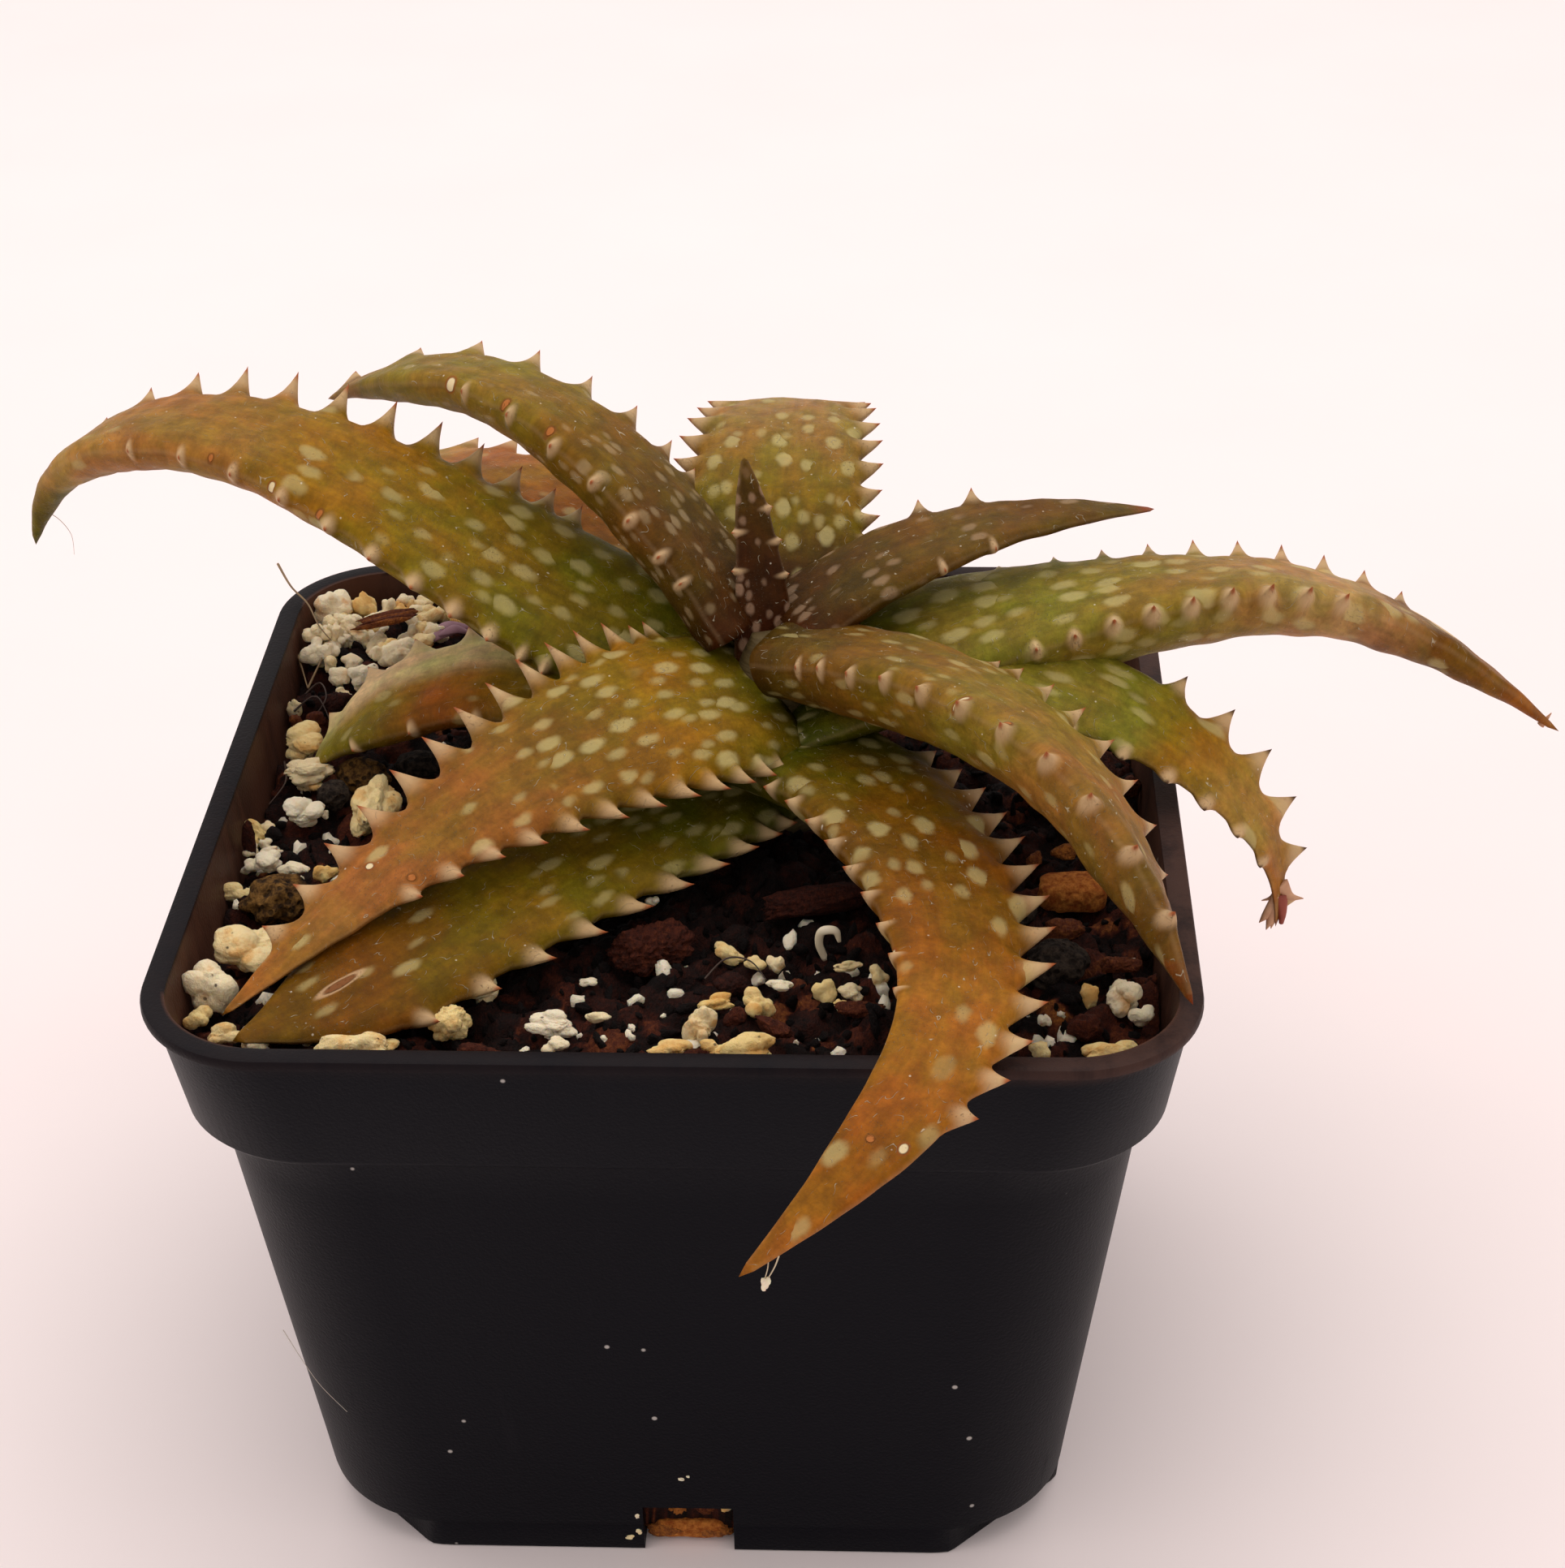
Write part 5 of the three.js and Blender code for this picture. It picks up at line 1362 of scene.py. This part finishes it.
def make_sliver():
    """A torn strip of bark: a few long shards side by side, with uneven ends."""
    start, end = np.array(SLIVER_ENDS)
    heading = math.degrees(math.atan2(end[1] - start[1], end[0] - start[0]))
    rise = -math.degrees(math.asin((end[2] - start[2]) / np.linalg.norm(end - start)))
    shards = Grains()
    random = np.random.default_rng(31)
    for k in range(SLIVER_SHARDS):
        shift = random.uniform(-0.08, 0.08)
        middle = start + (end - start) * (0.5 + shift) + np.array(SHARD_STEP) * (k - 2)
        length = np.linalg.norm(end - start) * (1 - 2 * abs(shift)) * random.uniform(0.8, 1)
        shards.add(chip, middle, (length, SHARD_WIDTH, SHARD_DEPTH), heading + random.uniform(-3, 3), 40 + k,
                   random.uniform(0.6, 0.85), level=4, tilt=rise)
    return shards.piece("bark_sliver_shards", FINISHES["bark"])


carry(make_sliver(), "bark", "bark_sliver")

# %% [markdown]
# ## Crumbs that repeat
# Hundreds of crumbs and small grains lie on the mix. Geometry Nodes strew them: points are spread
# over the mix where an attribute allows it, one of several forms is set on each point with a random
# turn and size, and every instance gets its own tone before all of them are made real.

# %% The strewing tree
STREW_INPUTS = (("Spacing", "NodeSocketFloat", 0.0012), ("Density", "NodeSocketFloat", 100000.0),
                ("Least", "NodeSocketFloat", 0.5), ("Greatest", "NodeSocketFloat", 1.0),
                ("Least tone", "NodeSocketFloat", 0.0), ("Greatest tone", "NodeSocketFloat", 1.0),
                ("Seed", "NodeSocketInt", 1))


class Growth:
    """A Geometry Nodes tree with named inputs."""

    def __init__(self, name, inputs):
        self.tree = bpy.data.node_groups.new(name, "GeometryNodeTree")
        self.tree.interface.new_socket("Geometry", in_out="INPUT", socket_type="NodeSocketGeometry")
        self.tree.interface.new_socket("Geometry", in_out="OUTPUT", socket_type="NodeSocketGeometry")
        self.keys = {}
        for label, kind, value in inputs:
            socket = self.tree.interface.new_socket(label, in_out="INPUT", socket_type=kind)
            socket.default_value = value
            self.keys[label] = socket.identifier
        self.start = self.tree.nodes.new("NodeGroupInput")

    def input(self, label):
        return self.start.outputs[label]

    def node(self, kind, settings=None, sockets=None, output=0):
        made = self.tree.nodes.new(kind)
        for name, value in (settings or {}).items():
            setattr(made, name, value)
        for key, value in (sockets or {}).items():
            sources = value if isinstance(value, list) else [value]
            for source in sources:
                if isinstance(source, bpy.types.NodeSocket):
                    self.tree.links.new(source, made.inputs[key])
                else:
                    made.inputs[key].default_value = source
        return made.outputs[output] if made.outputs else None

    def finish(self, geometry, finish):
        """Makes instances real, gives them their finish and closes the tree."""
        real = self.node("GeometryNodeRealizeInstances", None, {0: geometry})
        smooth = self.node("GeometryNodeSetShadeSmooth", None, {0: real})
        dressed = self.node("GeometryNodeSetMaterial", None, {0: smooth, "Material": finish})
        self.node("NodeGroupOutput", None, {0: dressed})

    def grow(self, name, source, values):
        """Runs the tree on a copy of the source mesh and returns what it made as a piece."""
        piece = bpy.data.objects.new(name, source.data.copy())
        bpy.context.scene.collection.objects.link(piece)
        modifier = piece.modifiers.new("growth", "NODES")
        modifier.node_group = self.tree
        for label, value in values.items():
            modifier[self.keys[label]] = value
        settle(piece)
        return piece


def strewing_tree(name, share, kinds, finish):
    growth = Growth(name, STREW_INPUTS)
    chance = growth.node("GeometryNodeInputNamedAttribute", {"data_type": "FLOAT"}, {"Name": share})
    points = growth.node("GeometryNodeDistributePointsOnFaces", {"distribute_method": "POISSON"}, {
        "Mesh": growth.start.outputs["Geometry"], "Distance Min": growth.input("Spacing"),
        "Density Max": growth.input("Density"), "Density Factor": chance, "Seed": growth.input("Seed")})
    forms = []
    for kind in kinds:
        sockets = {"Object": kind, "As Instance": True}
        forms.append(growth.node("GeometryNodeObjectInfo", None, sockets, output="Geometry"))
    choice = growth.node("GeometryNodeJoinGeometry", None, {0: forms})
    turn = growth.node("FunctionNodeRandomValue", {"data_type": "FLOAT_VECTOR"},
                       {1: (6.283, 6.283, 6.283), "Seed": growth.input("Seed")})
    size = growth.node("FunctionNodeRandomValue", {"data_type": "FLOAT"}, {
        2: growth.input("Least"), 3: growth.input("Greatest"), "Seed": growth.input("Seed")}, output=1)
    instances = growth.node("GeometryNodeInstanceOnPoints", None, {
        "Points": points, "Instance": choice, "Pick Instance": True, "Rotation": turn, "Scale": size})
    tone = growth.node("FunctionNodeRandomValue", {"data_type": "FLOAT"}, {
        2: growth.input("Least tone"), 3: growth.input("Greatest tone")}, output=1)
    toned = growth.node("GeometryNodeStoreNamedAttribute", {"data_type": "FLOAT", "domain": "INSTANCE"},
                        {0: instances, "Name": "tone", "Value": tone})
    growth.finish(toned, finish)
    return growth


# %% [markdown]
# Each entry below gives the kind of grain, the attribute that says where it may lie, the sizes of its
# forms, and the values of the tree's inputs in their order. A crumb has only 80 faces, because there
# are thousands of them.

# %% Strew crumbs, grit and small perlite
CRUMB_LEVEL = 2
STREWN = {
    "bark_crumbs": {
        "kind": "bark", "share": "open_ground",
        "shapes": ((1, 0.7, 0.6), (1.3, 0.5, 0.5), (0.9, 0.8, 0.5), (1.6, 0.55, 0.35)),
        "values": (0.0014, 330000.0, 0.7, 2.3, 0.02, 0.72, 3)},
    "orange_grit": {
        "kind": "bark", "share": "open_ground", "shapes": ((1, 0.8, 0.7), (1.2, 0.7, 0.6)),
        "values": (0.005, 16000.0, 0.6, 1.7, 0.75, 1.0, 8)},
    "perlite_crumbs": {
        "kind": "perlite", "share": "pale_ground", "shapes": ((1, 0.9, 0.8), (1.3, 0.8, 0.8), (1, 0.7, 0.9)),
        "values": (0.0019, 100000.0, 0.6, 2.2, 0.0, 0.95, 4)},
}


def strew(name, kind, share, shapes, values):
    forms = []
    for k, size in enumerate(shapes):
        grain = Grains().add(FORMS[kind], (0, 0, 0), size, 0, 300 + k, 0, CRUMB_LEVEL)
        forms.append(grain.piece(name + "_form", FINISHES[kind]))
    growth = strewing_tree(name, share, forms, FINISHES[kind])
    piece = growth.grow(name, mix, dict(zip(growth.keys, values)))
    for form in forms:
        bpy.data.objects.remove(form)
    carry(piece, SLOTS[kind])


for name, entry in STREWN.items():
    strew(name, **entry)

# %% [markdown]
# Some small grains lie where the photograph shows them, so they are listed one by one. Their entries give
# place, width, depth and height, turn and tone. The last ones of the first list are a crumb that hangs
# under a leaf's tip, and bits in the drain slot and on the pot's foot.

# %% Grains listed one by one
SMALL_PERLITE = (
    (-44.9, -32.0, 66.2, 5.4, 4.6, 5.0, 10, 0.35), (-45.6, -35.6, 65.0, 2.8, 2.4, 2.4, 0, 0.9),
    (-42.4, -38.4, 65.2, 3.6, 2.4, 2.2, 8, 0.8), (-39.2, -40.2, 65.3, 2.6, 2.2, 2.2, 0, 0.4),
    (-26.6, -39.4, 64.8, 2.0, 1.8, 1.4, 0, 0.9), (-42.0, 9.0, 64.6, 3.4, 2.4, 1.9, -8, 0.7),
    (-45.0, -1.0, 65.2, 1.8, 1.5, 1.5, 0, 0.5), (-46.2, -2.4, 65.4, 3.1, 2.4, 2.8, -30, 0.95),
    (-45.9, -5.4, 65.0, 1.7, 1.6, 1.5, 0, 0.3), (-45.6, -7.6, 64.6, 2.3, 1.6, 1.9, 20, 0.1),
    (-44.9, -3.6, 64.8, 1.8, 1.4, 1.4, 0, 0.2), (-43.9, -4.9, 64.9, 2.4, 1.2, 1.0, 20, 0.2),
    (-43.9, -7.6, 65.0, 3.1, 2.6, 2.4, 0, 0.1), (-40.6, -9.3, 65.5, 3.8, 1.9, 1.5, -24, 0.25),
    (-37.4, -10.0, 65.3, 2.6, 2.0, 2.0, 40, 1.0), (-46.2, -13.4, 65.0, 3.8, 2.6, 2.4, 10, 0.85),
    (-46.1, 23.0, 66.0, 1.7, 1.6, 2.4, 0, 0.5), (-39.6, 2.2, 64.9, 1.1, 1.0, 1.0, 0, 0.2),
    (-19.0, -30.6, 65.4, 3.6, 3.0, 3.3, 30, 0.6), (-10.7, -39.8, 65.5, 2.8, 2.0, 1.6, -5, 0.3),
    (-8.7, -28.4, 64.9, 1.8, 1.2, 0.9, 0, 0.1), (-7.2, -34.5, 65.0, 2.6, 1.4, 1.3, 0, 0.5),
    (-3.2, -17.4, 67.2, 1.5, 1.3, 1.2, 0, 0.1), (4.7, -23.5, 65.0, 3.3, 2.0, 2.0, -20, 0.85),
    (7.4, -25.1, 64.9, 2.4, 1.5, 1.4, -15, 0.8), (9.4, -25.2, 65.0, 1.9, 1.6, 2.0, 0, 0.5),
    (9.9, -29.2, 65.2, 2.8, 1.5, 1.3, -8, 0.15), (16.5, -25.0, 64.8, 3.0, 1.3, 1.2, 8, 0.7),
    (19.6, -27.3, 64.9, 2.0, 1.8, 2.8, 0, 0.75), (14.3, -30.0, 65.1, 2.5, 2.0, 2.5, 10, 0.9),
    (16.8, -29.6, 64.8, 2.6, 1.8, 1.6, 0, 0.5), (8.1, -33.2, 65.6, 3.2, 2.8, 3.1, -10, 0.9),
    (3.9, -31.8, 65.0, 3.6, 1.8, 1.6, 10, 1.0), (0.1, -40.6, 65.8, 4.4, 2.2, 1.6, 0, 0.9),
    (3.7, -39.4, 65.2, 1.8, 1.4, 1.4, 0, 0.9), (15.9, -31.8, 64.8, 1.4, 1.2, 1.2, 0, 0.95),
    (39.8, -30.0, 64.9, 1.9, 1.8, 3.0, 0, 0.95), (44.6, -33.4, 65.0, 2.6, 2.4, 2.4, 20, 0.2),
    (35.4, -33.9, 64.7, 1.4, 1.2, 1.4, 0, 0.1), (34.7, -40.2, 65.6, 2.1, 1.8, 2.2, 0, 0.8),
    (10.3, -71.1, 63.0, 0.9, 0.8, 1.4, 30, 0.1), (3.7, -37.2, 5.0, 1.8, 1.2, 2.0, 0, 0.8),
    (-6.2, -39.1, 1.9, 1.0, 0.5, 0.7, 0, 0.6), (-5.2, -39.1, 2.8, 0.8, 0.5, 0.8, 0, 0.5),
    (-5.3, -39.4, 5.2, 0.5, 0.4, 0.8, 0, 0.1), (-0.5, -40.2, 11.2, 0.7, 0.35, 0.35, 0, 0.1),
    (0.2, -40.2, 11.6, 0.4, 0.3, 0.3, 0, 0.1),
)
SMALL_BARK = (
    (-41.5, 24.6, 66.0, 4.0, 3.0, 2.4, 30, 0.35), (-45.6, 20.6, 65.8, 1.6, 1.5, 1.4, 0, 0.75),
    (-43.4, 20.8, 65.9, 2.4, 1.8, 1.8, 10, 0.6), (-46.0, -5.6, 66.3, 1.5, 0.8, 5.2, 8, 0.42),
    (-44.2, -2.2, 65.0, 2.2, 1.8, 1.9, 0, 0.0), (17.8, -32.8, 64.9, 5.0, 2.2, 1.6, 10, 0.6),
    (9.8, -36.8, 65.6, 4.8, 2.0, 1.8, -42, 0.55), (5.4, -29.0, 65.1, 4.0, 2.6, 2.2, 20, 0.3),
    (6.0, -34.4, 65.0, 2.4, 2.0, 2.2, 50, 0.5), (38.3, -4.2, 65.0, 2.8, 2.0, 1.8, 0, 0.95),
    (35.4, -5.4, 64.8, 2.0, 1.6, 1.6, 30, 0.8), (37.7, -19.4, 65.2, 4.4, 3.0, 2.4, 10, 0.7),
    (43.2, -25.2, 65.4, 4.2, 2.6, 1.4, 25, 0.66), (39.1, -35.8, 65.3, 3.6, 2.8, 2.6, 0, 0.5),
    (46.0, 8.6, 65.2, 2.4, 2.2, 2.4, 0, 0.62), (14.0, -14.0, 65.2, 14.0, 3.6, 2.8, 20, 0.42),
    (-30.0, -39.5, 64.6, 6.0, 2.6, 1.6, 4, 0.6), (-18.0, -40.0, 64.6, 5.0, 2.4, 1.6, -4, 0.5),
    (1.5, -37.0, 4.9, 2.8, 1.6, 2.6, 0, 0.72), (-1.0, -37.0, 4.7, 3.0, 1.6, 2.9, 20, 1.0),
    (-3.4, -37.1, 5.7, 2.0, 1.0, 1.2, 0, 0.95), (-2.6, -37.2, 1.7, 4.4, 1.8, 2.2, -6, 0.9),
    (2.5, -37.2, 1.7, 4.4, 1.8, 2.3, 5, 0.95), (33.0, -23.0, 65.0, 3.0, 2.4, 2.0, 60, 0.3),
)
SMALL_CHARCOAL = (
    (-38.8, 4.6, 66.0, 3.8, 3.4, 3.0, 0, 0.5), (-30.8, 12.0, 65.4, 5.4, 3.6, 3.0, 20, 0.5),
    (33.6, -15.6, 65.0, 4.6, 3.6, 3.0, 40, 0.5), (36.0, 10.0, 65.2, 5.0, 4.0, 3.4, 15, 0.5),
)


SMALL_FINE_FROM = 2.6


def place_small(name, kind, entries):
    grains = Grains()
    for k, (x, y, z, width, depth, height, turn, tone) in enumerate(entries):
        level = 4 if width > SMALL_FINE_FROM else 3
        grains.add(FORMS[kind], (x, y, z), (width, depth, height), turn, 400 + k, tone, level)
    carry(grains.piece(name, FINISHES[kind]), SLOTS[kind])


place_small("small_perlite", "perlite", SMALL_PERLITE)
place_small("small_bark", "bark", SMALL_BARK)
place_small("small_pumice", "charcoal", SMALL_CHARCOAL)

# %% [markdown]
# ## Straws, rootlets and hairs
# Dry straws stand out of the heap, rootlets run through the crumbs, and fine hairs cling to the
# leaves. Each is a line through a few points. A tree of nodes rounds the line and gives it thickness.

# %% The strand tree
STRAND_INPUTS = (("Radius", "NodeSocketFloat", 0.0001), ("Length of a step", "NodeSocketFloat", 0.0005))
STRAND_SIDES = 6
THIN_END = 0.45


def strand_tree(name, finish):
    growth = Growth(name, STRAND_INPUTS)
    line = growth.node("GeometryNodeMeshToCurve", None, {0: growth.start.outputs["Geometry"]})
    smooth = growth.node("GeometryNodeCurveSplineType", {"spline_type": "CATMULL_ROM"}, {0: line})
    even = growth.node("GeometryNodeResampleCurve", {"mode": "LENGTH"},
                       {0: smooth, "Length": growth.input("Length of a step")})
    way = growth.node("GeometryNodeSplineParameter")
    radius = growth.node("ShaderNodeMapRange", None, {0: way, 3: 1.0, 4: THIN_END})
    tapered = growth.node("GeometryNodeSetCurveRadius", None, {0: even, "Radius": radius})
    profile = growth.node("GeometryNodeCurvePrimitiveCircle", None, {
        "Resolution": STRAND_SIDES, "Radius": growth.input("Radius")})
    tube = growth.node("GeometryNodeCurveToMesh", None, {
        "Curve": tapered, "Profile Curve": profile, "Scale": radius, "Fill Caps": True})
    growth.finish(tube, finish)
    return growth


def strand_finish(name, dark, light):
    finish = Finish(name)
    tint = finish.noise(finish.place(), 0.6, 3.0)
    colour = finish.blend(tint, paint(dark), paint(light))
    return finish.shader(bump=tint, depth=0.02, Base_Color=colour, Roughness=0.6)


STRANDS = {
    "dry_straws": {
        "radius": 0.16, "dark": "#5a4024", "light": "#9c8058", "lines": (
            ((-51.3, 45.6, 72.5), (-49.0, 40.9, 72.0), (-46.7, 38.2, 71.2), (-45.0, 34.9, 70.2),
             (-43.4, 33.4, 69.0)),
            ((-48.0, 35.0, 67.4), (-46.6, 31.0, 66.9), (-45.4, 27.6, 66.0)),
            ((-45.4, 27.6, 66.0), (-44.6, 30.6, 67.2), (-43.8, 33.6, 68.4)),
        )},
    "dark_rootlets": {
        "radius": 0.13, "dark": "#1c110b", "light": "#4a3020", "lines": (
            ((-45.8, 25.0, 66.0), (-43.8, 26.4, 67.4), (-42.6, 23.6, 67.0), (-43.8, 21.0, 65.8)),
            ((-46.0, 22.0, 66.2), (-43.6, 23.0, 67.6), (-41.8, 20.6, 66.0)),
            ((2.6, -27.6, 64.8), (4.6, -25.8, 66.0), (7.0, -26.2, 66.0), (8.6, -27.8, 64.9)),
            ((-45.4, 12.0, 65.6), (-44.4, 7.0, 66.0), (-45.6, 3.4, 65.4)),
            ((20.0, -18.0, 65.0), (23.4, -21.0, 66.2), (27.0, -20.4, 65.2)),
        )},
    "fine_hairs": {
        "radius": 0.045, "dark": "#b9aa98", "light": "#d8cec2", "lines": (
            ((-73.0, 31.0, 86.2), (-71.8, 31.0, 85.2), (-70.8, 31.0, 83.4), (-70.8, 31.0, 81.0)),
            ((-40.4, -38.0, 28.5), (-39.1, -37.1, 23.9), (-37.5, -36.9, 20.2), (-34.6, -38.9, 18.5)),
        )},
}


def lay_strands(name, radius, dark, light, lines):
    points = [point for line in lines for point in line]
    edges = []
    start = 0
    for line in lines:
        edges += [(start + k, start + k + 1) for k in range(len(line) - 1)]
        start += len(line)
    mesh = bpy.data.meshes.new(name)
    mesh.from_pydata(np.array(points) * MM, edges, [])
    source = bpy.data.objects.new(name + "_lines", mesh)
    growth = strand_tree(name, strand_finish(name, dark, light))
    piece = growth.grow(name, source, {"Radius": radius * MM})
    bpy.data.objects.remove(source)
    carry(piece, "bark")


for name, strand in STRANDS.items():
    lay_strands(name, **strand)

# %% [markdown]
# ## Dry strips
# The dried ends of two leaves, a peeled margin, a purple shred, a curled flake and the threads of a
# hanging crumb are strips: a flat tube that follows a few points and changes its width on the way. The
# same function that closed the pot and the leaves closes them too.

# %% Strips
STRIP_STEPS = 26
STRIP_AROUND = 10
STRIPS = {
    "peeled_margin": {
        "slot": "leaf", "dark": "#b07c40", "light": "#f6e0b6", "face": (0.5, 0.2, 0.8), "thick": 0.36,
        "lines": (
            (((74.1, 18.5, 82.1), (76.3, 18.3, 81.0), (78.5, 18.0, 79.7), (80.6, 17.6, 78.3),
              (82.5, 17.1, 76.9)), (0.2, 0.5, 0.6, 0.5, 0.1)),
        )},
    "dried_ends": {
        "slot": "leaf", "dark": "#945436", "light": "#dcb088", "face": (0.3, -0.9, 0.2), "thick": 0.7,
        "lines": (
            (((60.9, -4.5, 61.6), (61.9, -4.5, 60.1), (63.3, -4.5, 59.8)), (1.6, 0.9, 0.1)),
            (((60.9, -4.5, 61.0), (60.0, -4.5, 59.9), (59.0, -4.5, 59.5)), (1.3, 0.5, 0.1)),
            (((60.8, -4.5, 60.2), (59.8, -4.6, 58.2), (58.9, -4.7, 56.9)), (1.7, 1.2, 0.1)),
            (((60.7, -4.5, 59.4), (60.1, -4.6, 57.4), (59.7, -4.5, 55.9)), (1.6, 1.0, 0.1)),
            (((60.6, -4.4, 58.6), (60.4, -4.4, 57.2), (60.2, -4.4, 56.0)), (1.2, 0.7, 0.1)),
            (((89.7, 14.4, 69.9), (90.2, 14.4, 70.6), (90.7, 14.4, 71.4)), (0.9, 0.5, 0.1)),
        )},
    "red_end": {
        "slot": "leaf", "dark": "#6a2014", "light": "#a84a30", "face": (0.3, -0.9, 0.2), "thick": 0.8,
        "lines": (
            (((61.0, -4.7, 60.4), (61.2, -4.7, 58.4), (61.2, -4.6, 56.8)), (1.5, 1.0, 0.5)),
        )},
    "purple_shred": {
        "slot": "bark", "dark": "#6e4254", "light": "#b08894", "face": (0.1, -0.5, 0.8), "thick": 0.4,
        "lines": (
            (((-32.4, 35.8, 67.6), (-30.8, 37.6, 68.3), (-28.4, 38.4, 68.2)), (0.4, 2.0, 0.7)),
            (((-31.6, 36.6, 68.0), (-29.8, 36.9, 68.7), (-28.2, 37.4, 68.0)), (0.4, 1.2, 0.4)),
        )},
    "curled_flake": {
        "slot": "perlite", "dark": "#e2cca4", "light": "#f8ecd4", "face": (0.1, -0.85, 0.5), "thick": 0.5,
        "lines": (
            (((14.2, -22.2, 63.6), (13.6, -22.5, 65.6), (13.9, -22.7, 67.2), (15.2, -22.7, 67.3),
              (15.6, -22.6, 66.0)), (0.7, 0.8, 0.9, 0.8, 0.4)),
        )},
    "crumb_threads": {
        "slot": "bark", "dark": "#a89478", "light": "#d8c8a8", "face": (0, -1, 0), "thick": 0.12,
        "lines": (
            (((11.5, -71.0, 66.0), (11.1, -71.1, 64.8), (10.4, -71.1, 63.3)), (0.16, 0.12, 0.12)),
            (((10.6, -70.9, 65.4), (10.5, -71.0, 64.5), (10.2, -71.1, 63.3)), (0.12, 0.1, 0.1)),
        )},
}


def strip_rings(path, widths, face, thick):
    """Rings of a flat tube along a path. face is the way that its flat side looks."""
    t = np.linspace(0, 1, STRIP_STEPS)
    middle = np.stack([along(values, t) for values in zip(*path)], 1)
    tangent = np.gradient(middle, axis=0)
    side = np.cross(face, tangent)
    side /= np.linalg.norm(side, axis=1)[:, None]
    up = np.cross(tangent, side)
    up /= np.linalg.norm(up, axis=1)[:, None]
    half = along(widths, t) / 2
    deep = np.minimum(thick / 2, half)
    turn = full_turn(STRIP_AROUND)[:, None]
    return [middle[k] + half[k] * np.cos(turn) * side[k] + deep[k] * np.sin(turn) * up[k]
            for k in range(STRIP_STEPS)]


def lay_strips(name, slot, dark, light, face, thick, lines):
    points, faces, count = [], [], 0
    for path, widths in lines:
        more, sides = skin_rings(strip_rings(path, widths, face, thick))
        points.append(more)
        faces += [tuple(k + count for k in one) for one in sides]
        count += len(more)
    carry(piece_from(name, np.concatenate(points), faces, strand_finish(name, dark, light)), slot)


for name, entry in STRIPS.items():
    lay_strips(name, **entry)
